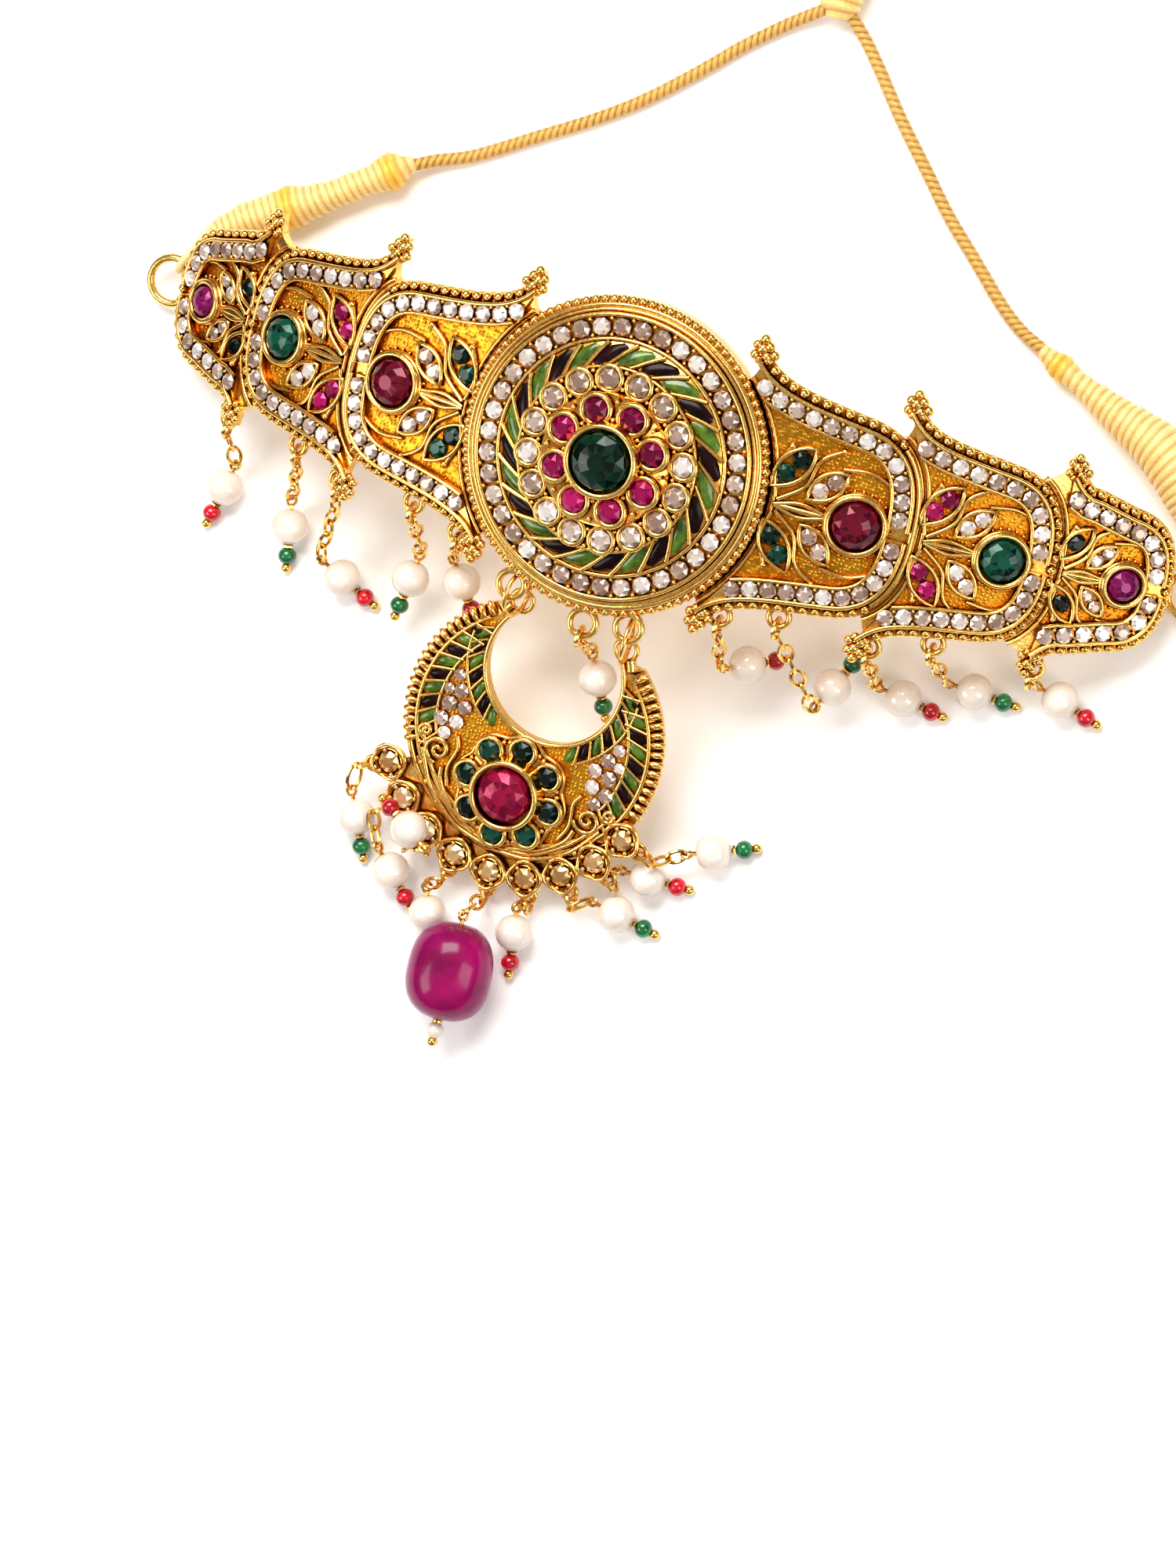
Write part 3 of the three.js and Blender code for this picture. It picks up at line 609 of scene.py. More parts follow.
def loopRing(place, x, y, z, radius, wire, count=28):
    return pathOn(place, circle(x, y, radius, count), z, wire, True)


def bench(place):                           # the base and wires of a piece, laid on its own surface
    base, wires = newShape(), []

    def sheet(points, low, high, step=1.0, slot=0):
        addSheet(base, points, low, high, place, step, slot)

    def wire(points, height, radius=0.3, closed=False):
        wires.append(pathOn(place, points, height, radius, closed))

    def ring(x, y, height, radius, thick, count=28):
        wires.append(loopRing(place, x, y, height, radius, thick, count))

    return base, wires, sheet, wire, ring


def through(points, perSpan=8):             # a smooth line that stays close to its points
    points = [Vector(p) for p in points]
    ends = [2 * points[0] - points[1], *points, 2 * points[-1] - points[-2]]
    line = []
    for i in range(1, len(ends) - 2):
        group, times = ends[i - 1:i + 3], [0.0]
        for a, b in zip(group, group[1:]):
            times.append(times[-1] + max((b - a).length, 1e-9) ** 0.5)
        for k in range(perSpan):
            t, row = times[1] + (times[2] - times[1]) * k / perSpan, group
            for spans in (((0, 1), (1, 2), (2, 3)), ((0, 2), (1, 3)), ((1, 2),)):
                spans = [(times[u], times[v]) for u, v in spans]
                row = [a * ((end - t) / (end - start)) + b * ((t - start) / (end - start))
                       for (start, end), a, b in zip(spans, row, row[1:])]
            line.append(row[0])
    return [*line, points[-1]]


def directions(line):
    return [(line[min(i + 1, len(line) - 1)] - line[max(i - 1, 0)]).normalized() for i in range(len(line))]


def lengthOf(line):
    return sum((b - a).length for a, b in zip(line, line[1:]))


def evenly(line, step):                     # the same line in equal steps
    lengths = [0.0]
    for a, b in zip(line, line[1:]):
        lengths.append(lengths[-1] + (b - a).length)
    count = max(2, round(lengths[-1] / step))
    out, at = [], 0
    for i in range(count + 1):
        wanted = lengths[-1] * i / count
        while at < len(lengths) - 2 and lengths[at + 1] < wanted:
            at += 1
        t = (wanted - lengths[at]) / max(lengths[at + 1] - lengths[at], 1e-12)
        out.append(line[at].lerp(line[at + 1], t))
    return out


# shapes that are repeated, each 1 across its radius; only their copies are shown
def repeatedShape(name, points, faces):
    mesh = bpy.data.meshes.new(name)
    mesh.from_pydata(points, [], faces)
    outward(mesh)
    # a random brightness for each facet, which cut glass turns into painted sparkle
    draw = random.Random(7)
    tones = mesh.attributes.new("facet", "FLOAT", "FACE")
    tones.data.foreach_set("value", [draw.uniform(0, 1) for _ in mesh.polygons])
    shape = objectFrom(name, mesh)
    shape.hide_render = True
    return shape


def cutStone(name, sides, rings, bottom):
    # rings: radius, height and a half-step turn or not, from the table down to the girdle
    points = [(x, y, height) for radius, height, half in rings
              for x, y, _ in around(radius, sides, 0.5 * half)]
    faces = [tuple(range(sides))]
    for k in range(len(rings) - 1):
        here, below, shift = k * sides, (k + 1) * sides, rings[k][2] - rings[k + 1][2]
        for i in range(sides):
            a, b, c = here + i, here + (i + 1) % sides, (i + (shift > 0)) % sides
            if shift:                        # triangles point up and down in turn
                faces += [(a, below + c, b), (b, below + c, below + (c + 1) % sides)]
            else:
                faces.append((a, below + c, below + (c + 1) % sides, b))
    last = (len(rings) - 1) * sides
    faces += [(last + (i + 1) % sides, last + i, len(points)) for i in range(sides)]
    return repeatedShape(name, [*points, (0, 0, bottom)], faces)


def roundBead(name, segments, rings):
    falls = [math.pi * k / rings for k in range(1, rings)]
    middle = [(x, y, math.cos(fall)) for fall in falls for x, y, _ in around(math.sin(fall), segments)]
    points = [(0, 0, 1), *middle, (0, 0, -1)]
    after = [(i + 1) % segments for i in range(segments)]
    last = 1 + (rings - 2) * segments
    faces = [(0, 1 + i, 1 + after[i]) for i in range(segments)]
    faces += [(row + i, row + i + segments, row + after[i] + segments, row + after[i])
              for row in range(1, last, segments) for i in range(segments)]
    faces += [(last + after[i], last + i, len(points) - 1) for i in range(segments)]
    return repeatedShape(name, points, faces)


shapes = {
    "smallStone": cutStone("smallStone", 8, [(0.52, 0.42, 0), (0.97, 0.1, 1), (1.0, -0.05, 1)], -0.5),
    "largeStone": cutStone("largeStone", 12, [(0.30, 0.50, 0), (0.62, 0.42, 1), (0.88, 0.22, 0),
                                              (1.0, 0.0, 1), (1.0, -0.12, 1)], -0.4),
    "grain": roundBead("grain", 8, 6),
    "ball": roundBead("ball", 14, 9),
}
print("repeated shapes made")

cords = {
    "diameter": 0.0017, "strands": 3, "lay": 2.9, "strandDepth": 0.2, "step": 0.16, "sides": 18, "tint": 0.3,
    "left": [(-43.6, 28.7, 2.2), (-41, 30.2, 1.6), (-37, 32, 1), (-29, 37.1, 0.9), (-23, 41, 0.9),
             (-17.6, 45.1, 0.9), (-12, 50.4, 0.9), (-7.2, 55.4, 0.9), (-2.4, 59.6, 1.2), (1.9, 62.6, 2.2)],
    "right": [(41.8, 29.4, 1.6), (38.5, 30.8, 1.1), (35.4, 32.8, 0.9), (29.4, 38, 0.9), (24.6, 42.2, 0.9),
              (20.2, 46.7, 0.9), (15, 52, 0.9), (10.3, 57.3, 0.9), (7.4, 60.4, 1.2), (5, 62.6, 2.2)],
}
wrap = {  # route, radii along it, pitch, depth, step, sides, bright bands, their width, tint elsewhere
    "Left": ([(-66.5, 12.8, 2.6), (-60, 17.2, 2.9), (-54, 20.9, 2.9), (-44.2, 28.3, 2.6),
              (-43.4, 28.85, 2.2)],
             [1.1, 1.95, 2.45, 2.5, 2.95, 2.4, 1.95, 1.95, 1.95, 2.6, 1.1], 0.95, 0.26, 0.15, 40,
             [0.40, 0.90], 0.08, 0.12),
    "Right": ([(69.4, 11.8, 3.1), (66.4, 16.8, 3.8), (61, 21.2, 4.1), (52.7, 24.6, 2.9), (42.4, 29, 1.8),
               (41.6, 29.45, 1.6)],
              [1.6, 3.2, 3.8, 3.8, 3.5, 3.0, 2.5, 2.0, 1.5, 1.8, 1.0], 1.15, 0.3, 0.15, 44,
              [0.06, 0.90], 0.08, 0.12),
    "Knot": ([(3.4, 61.6, 2.5), (3.5, 64, 2.75), (3.9, 67, 2.75), (4.4, 70.4, 2.75)],
             [1.5, 2.75, 2.6, 2.65, 2.4, 1.1], 1.3, 0.34, 0.12, 32, [0.7], 0.25, 0.3),
}
endRing = {"radius": 2.95, "wire": 0.53, "place": (69.2, 0, -22.1), "tie": 0.5}


def windTube(name, route, step, sides, radiusAt, tintAt, material=goldThread):
    # a tube along a route whose skin rises and falls: radiusAt gives radius and the painted groove shade at a
    # place
    line = evenly(through(route), step)
    tangents = directions(line)
    side, travelled, whole = tangents[0].cross(Vector((0, 0, 1))).normalized(), 0.0, step * (len(line) - 1)
    rows, tints, grooves = [], [], []
    for i, (at, tangent) in enumerate(zip(line, tangents)):
        if i:
            side = (side - tangent * side.dot(tangent)).normalized()
            travelled += (at - line[i - 1]).length
        up, row = side.cross(tangent), []
        for j in range(sides):
            angle = 2 * math.pi * j / sides
            radius, groove = radiusAt(travelled, travelled / whole, angle)
            row.append(tableSpot(*(at + (side * math.cos(angle) + up * math.sin(angle)) * radius)))
            grooves.append(groove)
        rows.append(row)
        tints += [tintAt(travelled / whole)] * sides
    tube = newShape()
    addRows(tube, rows, capped=False)
    for first, face in ((0, 1), (len(tube["points"]) - sides, -1)):  # domed ends
        ring, centre = tube["points"][first:first + sides], len(tube["points"])
        tube["points"].append(sum(ring, Vector()) / sides)
        tube["faces"] += [(first + (j + 1) % sides, first + j, centre)[::face] for j in range(sides)]
        tints.append(tints[first])
        # a little painted shade on the domed ends
        grooves.append(0.2)
    mesh = bpy.data.meshes.new(name)
    mesh.from_pydata(tube["points"], [], tube["faces"])
    mesh.materials.append(material)
    carry(mesh, "tint", tints)
    carry(mesh, "groove", grooves)
    outward(mesh)
    smoothen(mesh)
    return objectFrom(name, mesh), [tableSpot(*p) for p in line]


def twisted(strands, lay, depth, radius):   # strands laid up like a small rope
    def radiusAt(travelled, share, angle):
        wave = abs(math.cos((strands * angle - 2 * math.pi * travelled * strands / lay) / 2))
        # the second value is painted shade between the strands
        return radius * (1 - depth * (1 - wave)), (1 - wave) ** 1.6
    return radiusAt


def windings(radii, pitch, depth):          # turns of thread over a form of changing radius
    def radiusAt(travelled, share, angle):
        place = min(share, 0.9999) * (len(radii) - 1)
        low = int(place)
        blend = (place - low) ** 2 * (3 - 2 * (place - low))
        radius = radii[low] * (1 - blend) + radii[low + 1] * blend
        wave = abs(math.sin(math.pi * travelled / pitch + angle / 2))
        waver = 0.05 * math.sin(travelled * 1.7 + 2 * angle) + 0.04 * math.sin(travelled * 3.1 - angle)
        # the second value is painted shade between the turns
        return radius - depth * (1 - wave ** 0.7) + waver - 0.05, (1 - wave) ** 1.5
    return radiusAt


def tieLoop(side, way, start):              # the eye of thread that holds a sleeve on its end ring
    x, y, z = endRing["place"]
    centre, start = discSpot(way * x, y, z), tableSpot(*start)
    up = (discSpot(way * x, y, z + 1) - centre).normalized()
    away = start - centre
    away = (away - up * away.dot(up)).normalized()
    onWire, within = centre + away * endRing["radius"] * mm, centre + away * (endRing["radius"] - 1.25) * mm
    clear = up * (endRing["wire"] + endRing["tie"] + 0.08) * mm
    inward = (start - onWire).normalized() * 1.2 * mm
    route = through([start + inward + up * 0.45 * mm, onWire + clear, within, onWire - clear,
                     start + inward - up * 0.45 * mm], 9)
    return wirePiece("tieLoop" + side, [{"points": route, "facings": [up] * len(route),
                                         "radius": endRing["tie"]}], goldThread, 12)


def woundPiece(name, key):
    route, radii, pitch, depth, step, sides, bands, width, least = wrap[key]
    tintAt = lambda share: max([least] + [1 - abs(share - k) / width for k in bands])
    return windTube(name, route, step, sides, windings(radii, pitch, depth), tintAt)[0]


def makeCords(c):
    ropeSkin = twisted(c["strands"], c["lay"], c["strandDepth"], c["diameter"] / 2 / mm)
    tintAt = lambda share: c["tint"]
    made = [(*windTube(name, c[key], c["step"], c["sides"], ropeSkin, tintAt, cordThread), node)
            for name, key, node in (("cordLeft", "left", "cord_left"), ("cordRight", "right", "cord_right"))]
    for side, way, node in (("Left", -1, "wound_sleeve_l"), ("Right", 1, "wound_sleeve_r")):
        name = "woundSleeve" + side
        parts = [woundPiece(name, side), tieLoop(side, way, wrap[side][0][0])]
        settle(joinPieces(name, parts), "gold_thread", node)
    sliderKnot = woundPiece("sliderKnot", "Knot")
    settle(sliderKnot, "gold_thread", "slider_knot")
    for cord, line, node in made:
        settle(cord, "gold_thread", node)
        length = lengthOf(line)
        print(node, "is", round(length * 1000, 1), "mm long")


makeCords(cords)

medallion = {
    "radius": 19.7, "segments": 112, "edgeGrains": 100, "edgeGrain": 0.58, "edgeAt": 19.35,
    "leaves": 24, "leafInner": 11.5, "leafOuter": 14.35, "leafSweep": 15.5, "centreStone": (3.85, 3.85, 3.4),
    "loops": [-25, 3, 19], "loopReach": 21.25, "loopRadius": 1.7, "loopWire": 0.45,
    "stones": [  # name, count, radius, stone height and size, prongs' height, off and size, ring's height,
                 # size and wire, glass
        ("OuterStones", 38, 16.05, (1.95, 1.17), (1.95, 1.0, 0.27), None, clearGlass),
        ("InnerStones", 16, 9.95, (4.45, 1.36), (4.35, 1.05, 0.3), (4.3, 1.62, 0.33), clearGlass),
        ("Rubies", 8, 6.3, (5.4, 1.55), (5.3, 1.15, 0.34), (5.2, 1.85, 0.4), rubyGlass),
    ],
    "wires": [  # radius, height, wire, points
        (18.65, 0.95, 0.42, 96), (18.1, 1.2, 0.32, 96), (17.55, 1.75, 0.3, 96), (14.6, 2.25, 0.27, 80),
        (11.4, 3.95, 0.22, 72), (4.32, 6.45, 0.42, 48)],
    "profile": [  # radius and height: the hollow back, the rim, then the tiers up to the centre
        (0, 2.6), (4, 2.6), (7.5, 2.2), (11, 1.4), (14.5, 0.3), (17.6, -0.4), (18.85, -0.5), (18.95, -2.3),
        (19.1, -2.4), (19.4, -2.4), (19.55, -2.25), (19.6, -0.35), (19.7, -0.2), (19.7, 0.5), (19.45, 0.8),
        (17.9, 0.9), (17.6, 1.55), (17.3, 1.3), (14.8, 1.3), (14.5, 2.1), (14.2, 2.3), (11.6, 3.0),
        (11.35, 3.9), (11.15, 3.8), (8.7, 3.85), (8.15, 4.9), (7.9, 4.8), (5, 4.8), (4.75, 6.2), (4.6, 6.4),
        (4.2, 6.4), (4.05, 6.2), (4.05, 5), (0, 5)],
}


def leafSide(m, index):                     # the swirl line at one side of a leaf, from inside outwards
    return [polar(m["leafInner"] + (m["leafOuter"] - m["leafInner"]) * t,
                  math.radians(360 * index / m["leaves"] - m["leafSweep"] * t ** 0.85))
            for t in [k / 8 for k in range(9)]]


def addLeaf(shape, first, second, place, base, crown=0.3, inset=0.06, across=4):
    # an enamelled leaf between two lines: pointed at both ends and slightly domed
    rows = []
    for k, (a, b) in enumerate(zip(first, second)):
        full = max(math.sin(math.pi * k / (len(first) - 1)), 0)
        narrow = min(inset + 0.5 * (1 - full ** 0.42), 0.497)
        top, bottom = [], []
        for j in range(across + 1):
            x, y = Vector(a).lerp(Vector(b), narrow + (1 - 2 * narrow) * j / across)
            bulge = 4 * (j / across) * (1 - j / across)
            top.append(place(x, y, base + crown * bulge * full ** 0.5))
            bottom.append(place(x, y, base - 0.45))
        rows.append(top + bottom[::-1])
    addRows(shape, rows)


def medallionLoop(degrees):
    return polar(medallion["loopReach"], math.radians(degrees - 90))


def makeMedallion(m):
    base, wires, _, wire, ring = bench(discSpot)
    addTurned(base, m["profile"], m["segments"], discSpot)
    for radius, height, thick, count in m["wires"]:
        ring(0, 0, height, radius, thick, count)
    for i in range(m["leaves"]):
        wire([(x, y, -0.62 * k / 8) for k, (x, y) in enumerate(leafSide(m, i))], 3.18, 0.29)
    prongs = []
    for _, count, radius, _, (height, off, size), rim, _ in m["stones"]:
        if rim:
            for x, y, _ in around(radius, count, 0.5):
                ring(x, y, *rim, 20)
        prongs += [spotAt(discSpot, *polar(radius + way * off, angle), height, size)
                   for _, _, angle in around(radius, count) for way in (-1, 1)]
    for degrees in m["loops"]:
        ring(*medallionLoop(degrees), 0.3, m["loopRadius"], m["loopWire"])
    rim = loopRing(discSpot, 0, 0, 0.62, m["edgeAt"], 0.3, 200)
    parts = [pieceFrom("medallionBase", base, [gold]), wirePiece("medallionWires", wires),
             rowPiece("medallionRimGrains", [rim], m["edgeGrain"], math.tau * m["edgeAt"] / m["edgeGrains"]),
             goldSet("medallionProngs", prongs, "grain")]
    settle(joinPieces("medallionGold", parts), "gold", "centre_medallion")
    for name, count, radius, (height, size), _, _, glass in m["stones"]:
        spots = [spotAt(discSpot, x, y, height, size, angle + i)
                 for i, (x, y, angle) in enumerate(around(radius, count, 0.5))]
        setStones("medallion" + name, spots, glass)
    centre = [spotAt(discSpot, 0, 0, 6.35, m["centreStone"])]
    setStones("medallionCentreStone", centre, deepGreenGlass, "centre_stone", shape="largeStone")
    slope = lambda x, y, z: discSpot(x, y, z - 0.24 * (math.hypot(x, y) - m["leafInner"]))
    for first, name, material, slot in ((0, "medallionGreenLeaves", greenEnamel, "green_enamel"),
                                        (1, "medallionDarkLeaves", darkEnamel, "dark_enamel")):
        shape = newShape()
        for i in range(first, m["leaves"], 2):
            addLeaf(shape, leafSide(m, i), leafSide(m, i + 1), slope, 3.05)
        settle(pieceFrom(name, shape, [material], 50), slot)


makeMedallion(medallion)
print("medallion made")

plates = {
    "list": [
        {"tip": (14.2, 19.4), "waist": (21.5, 14.4), "endAt": 27, "endLong": 11.2, "endWide": 13.2,
         "stoneAt": 30.7, "stone": 3.1, "loops": [17.5, 24.5], "round": garnetGlass, "pointed": greenGlass},
        {"tip": (33.7, 17.6), "waist": (40.2, 12.9), "endAt": 45.4, "endLong": 10.2, "endWide": 11.8,
         "stoneAt": 48.8, "stone": 2.75, "loops": [36, 43.5], "round": greenGlass, "pointed": rubyGlass},
        {"tip": (54.6, 14.5), "waist": (59.3, 10.8), "endAt": 61.6, "endLong": 8.9, "endWide": 9.6,
         "stoneAt": 64.2, "stone": 2.1, "loops": [56.2], "round": violetGlass, "pointed": greenGlass},
    ],
    "lower": 0.92, "power": 2.6, "shoulder": math.radians(80), "slab": 1.2, "ribbon": 2.15, "wire": 0.3,
    "ribbonOut": 1.35, "ribbonIn": 3.75, "edgeGrain": 0.68, "edgePitch": 1.5, "edgeAt": 0.5, "span": 10.65,
    "stone": 1.08, "stonePitch": 2.3, "loopRadius": 1.25, "loopWire": 0.4, "cusp": 0.55, "dot": 0.46,
    "crest": [(0.55, -0.1, 0.6), (-0.25, -0.95, 0.58), (1.3, -0.9, 0.6), (0.5, -1.3, 0.68),
              (-0.35, -2.2, 0.56), (2.1, -1.8, 0.58), (1.15, -2.2, 0.66), (0.3, -2.75, 0.52)],
    "cells": [  # place from the round stone, length, width, lean, coloured or clear, gem
        (-8.9, 5.1, 7.2, 3.4, 53, "coloured", 1.27), (-4.3, 3.75, 5.9, 3.0, 44, "clear", 1.12)],
    "curves": [[(-10.2, 1.0), (-10.9, 4.2), (-9.6, 7.6)],
               [(-9.9, 0.7), (-6.9, 3.2), (-5.9, 6.6), (-3.4, 8.5)],
               [(-3.0, 6.3), (0.6, 6.6), (3.9, 4.9), (5.2, 1.4)]],
}


def endPoint(plate, angle, width, extra=0.0):
    return (plate["endAt"] + (plate["endLong"] + extra) * max(math.cos(angle), 0) ** (2 / plates["power"]),
            (plate["endWide"] * width + extra) * math.sin(angle) ** (2 / plates["power"]))


def outerEdge(plate, width):                # crest tip, waist, rounded outer end
    (tipX, tipY), (waistX, waistY), shoulder = plate["tip"], plate["waist"], plates["shoulder"]
    knots = [Vector(q) for q in ((tipX, tipY * width), (tipX + 2.8, (tipY - 3.2) * width),
                                 (waistX, waistY * width), endPoint(plate, shoulder, width))]
    ends, line = [knots[0], *knots, knots[-1]], []
    for i in range(1, 4):
        a, b, c, d = ends[i - 1:i + 3]
        for t in [k / 8 for k in range(8)]:
            line.append(0.5 * (2 * b + (c - a) * t + (2 * a - 5 * b + 4 * c - d) * t * t
                               + (3 * b - a - 3 * c + d) * t ** 3))
    line += [Vector(endPoint(plate, shoulder * (1 - i / 18), width)) for i in range(19)]
    return evenly(line, 0.7)


def innerEdge(index, width, extra=0.0):     # hugs the medallion or the plate before it
    angles = [math.radians(45 if index == 0 else 58) * i / 14 for i in range(15)]
    gap = band["gap"] + extra
    if index == 0:
        return [polar(medallion["radius"] + gap, angle) for angle in angles]
    return [endPoint(plates["list"][index - 1], angle, width, gap) for angle in angles]


def clearOfInner(index, p, width, margin):
    reach = band["gap"] + margin
    if index == 0:
        return math.hypot(*p) > medallion["radius"] + reach
    before = plates["list"][index - 1]
    if p[0] <= before["endAt"]:
        return abs(p[1]) > before["endWide"] * width + reach
    return (((p[0] - before["endAt"]) / (before["endLong"] + reach)) ** plates["power"]
            + (abs(p[1]) / (before["endWide"] * width + reach)) ** plates["power"]) > 1


def crestSide(start, plate, width):         # the hollow side of a crest, from the inner edge to its tip
    start, tip = Vector(start), Vector((plate["tip"][0], plate["tip"][1] * width))
    side = Vector((tip.y - start.y, start.x - tip.x)).normalized()
    return [start.lerp(tip, k / 6) + side * 0.9 * math.sin(math.pi * k / 6) for k in range(1, 6)]


def offsetLine(line, distance):             # the edge moved inwards
    return [Vector((p.x + along.y * distance, p.y - along.x * distance))
            for p, along in zip(line, directions(line))]


def marquise(x, y, length, width, turn, count=9):  # a pointed oval round a point, turned by an angle
    outline = []
    for side, shares in ((1, range(count)), (-1, range(count, 0, -1))):
        for t in [k / count for k in shares]:
            u, v = (t - 0.5) * length, side * width / 2 * math.sin(math.pi * t) ** 0.8
            outline.append((x + u * math.cos(turn) - v * math.sin(turn),
                            y + u * math.sin(turn) + v * math.cos(turn)))
    return outline


def plateLoop(plate, along):                # where a drop's loop sits on the lower edge
    near = min(outerEdge(plate, plates["lower"]), key=lambda q: abs(q.x - along))
    return along, -near.y - 0.9, 0.6


def makePlate(side, index):
    p, plate, name = plates, plates["list"][index], f"plate{side.upper()}{index + 1}"
    way = 1 if side == "r" else -1
    place = lambda x, y, z: bandSpot(way * x, y, z)
    stoneAt, size, slab, ribbon = plate["stoneAt"], plate["stone"], p["slab"], p["ribbon"]
    first = innerEdge(index, 1)[0][0]
    k = (stoneAt - first) / p["span"]       # the ornament is smaller on a smaller plate
    base, wires, sheet, wire, ring = bench(place)
    grains, balls, crest, fieldSides, halves, gems = [], [], [], [], [], {"coloured": [], "clear": []}
    for flip, width in ((1, 1), (-1, p["lower"])):
        inner, outer = innerEdge(index, width), outerEdge(plate, width)
        halves.append(([(x, flip * y) for x, y in inner + crestSide(inner[-1], plate, width)],
                       [(x, flip * y) for x, y in outer]))
    (upperInner, upperOuter), (lowerInner, lowerOuter) = halves
    sheet(upperInner + upperOuter + lowerOuter[-2::-1] + lowerInner[:0:-1], 0, slab, 1.4)
    for flip, width in ((1, 1), (-1, p["lower"])):
        edge = outerEdge(plate, width)
        line = lambda distance, margin: [
            q for q in offsetLine(edge, distance) if q.x > plate["tip"][0] + margin
            and clearOfInner(index, q, width, margin) and q.y > -0.01]
        turned = lambda points: [(q[0], flip * q[1]) for q in points]
        outer, inner = line(p["ribbonOut"], 0.1), line(p["ribbonIn"], 0.1)
        strip = [q for q in outer + inner[::-1] if q.y > p["cusp"]]
        sheet(turned(strip), slab - 0.3, ribbon - 0.38, 1.4)
        for points, height, radius in ((outer, ribbon + 0.02, p["wire"]),
                                       (inner, ribbon + 0.02, p["wire"] * 0.9),
                                       (line(0.15, 0.0), slab - 0.25, 0.3),
                                       (innerEdge(index, width, 0.3), slab + 0.1, 0.3),
                                       (innerEdge(index, width, -0.05), slab - 0.5, 0.36)):
            wire(turned(points), height, radius)
        free = 99 if index == 2 else p["list"][index + 1]["tip"][0] + 0.6
        grains.append(pathOn(place, turned([q for q in line(p["edgeAt"], 0.3) if q.x <= free]), slab + 0.18))
        if index < 2:                       # a smooth ridge where the next plate meets this one
            wire(turned([q for q in line(0.62, 0.3) if q.x > free]), slab + 0.25, 0.5)
        tucked = innerEdge(index, width, -1.6 if index == 0 else -0.7)   # reaches under the piece before
        sheet(turned(tucked + innerEdge(index, width, 0.4)[::-1]), -0.55, -0.06, 1.2)
        middle = [q for q in line((p["ribbonOut"] + p["ribbonIn"]) / 2, 1.0) if q.y > 1.35]
        row = evenly(middle, lengthOf(middle) / max(2, round(lengthOf(middle) / p["stonePitch"])))
        for i, q in enumerate(row):
            gems["clear"].append(spotAt(place, q.x, flip * q.y, ribbon + 0.12, p["stone"], i * 1.3))
            if i:                           # two small balls between one stone and the next
                m, along = (q + row[i - 1]) / 2, (q - row[i - 1]).normalized()
                balls += [spotAt(place, m.x - along.y * off, flip * (m.y + along.x * off), ribbon + 0.12,
                                 0.25) for off in (-0.8, 0.8)]
        crest += [spotAt(place, plate["tip"][0] + dx, flip * (plate["tip"][1] * width + dy), 1.35,
                         radius * (1.1 if index < 2 else 0.97)) for dx, dy, radius in p["crest"]]
        fieldSides.append(turned([q for q in line(p["ribbonIn"] + 0.2, 0.4)]))
        for x, y, length, broad, lean, glass, gem in p["cells"]:
            turn, cx = math.radians(lean) * flip, stoneAt + x * k
            cy = flip * y * k * (1 if flip > 0 else 0.97)
            wire(marquise(cx, cy, length * k, broad * k, turn), slab + 0.5, 0.3, True)
            single, radius = index == 2 and glass == "coloured", gem * k
            gems[glass] += [spotAt(place, *polar(off * k, turn, cx, cy), slab + 0.45,
                                   (radius * (1.25 if single else 1), radius * 0.97, radius), turn)
                            for off in ((0,) if single else (-gem, gem))]
        for points in p["curves"]:
            bent = through([(stoneAt + x * k, flip * y * k) for x, y in points], 7)
            wire(bent, slab + 0.35)
            balls.append(spotAt(place, *bent[-1], slab + 0.5, p["dot"]))
        wire(through([(first + 0.5, flip * 0.1), (stoneAt - 7 * k, flip * 0.85 * k),
                      (stoneAt - size - 0.5, flip * 0.15)]), slab + 0.45, 0.27)
    upper, lower = fieldSides
    inner = [(x, -y) for x, y in innerEdge(index, p["lower"], 0.5)[::-1] if 0 < y < abs(lower[0][1]) - 0.2]
    inner += [(x, y) for x, y in innerEdge(index, 1, 0.5) if y < abs(upper[0][1]) - 0.2]
    sheet([q for q in upper if q[1] > 0.05] + [q for q in lower[::-1] if q[1] < -0.05] + inner, slab - 0.2,
          slab + 0.07, 1.1, 1)
    wire(through([(first + 0.6, 0), (stoneAt - 6.5 * k, 0), (stoneAt - size - 0.4, 0)], 6), slab + 0.3, 0.42)
    ring(stoneAt, 0, 2.25, size + 0.42, 0.42, 40)
    ring(stoneAt, 0, 1.6, size + 0.55, 0.5, 40)
    for along in plate["loops"]:
        ring(*plateLoop(plate, along), p["loopRadius"], p["loopWire"])
    prongs = balls + [spotAt(place, x, y, 1.45, 0.24) for x, y, _ in around(size + 1.15, 24, 0.0, stoneAt)]
    parts = [pieceFrom(name + "Base", base, [gold, fieldGold]), wirePiece(name + "Wires", wires),
             rowPiece(name + "Grains", grains, p["edgeGrain"], p["edgePitch"]),
             goldSet(name + "Prongs", prongs, "grain"), goldSet(name + "Crest", crest)]
    settle(joinPieces(name + "Gold", parts), "gold", f"plate_{side}{index + 1}")
    setStones(name + "ClearStones", gems["clear"], clearGlass)
    setStones(name + "CellStones", gems["coloured"], plate["pointed"])
    setStones(name + "Cabochon", [spotAt(place, stoneAt, 0, 2.1, size)], plate["round"],
              f"cabochon_{side}{index + 1}", shape="largeStone")


for side in "rl":
    for index in range(3):
        makePlate(side, index)
for way, side, node in ((1, "Right", "end_ring_r"), (-1, "Left", "end_ring_l")):
    x, y, z = endRing["place"]
    ring = loopRing(discSpot, way * x, y, z, endRing["radius"], endRing["wire"], 40)
    settle(wirePiece("endRing" + side, [ring], sides=12), "gold", node)
print("plates made")

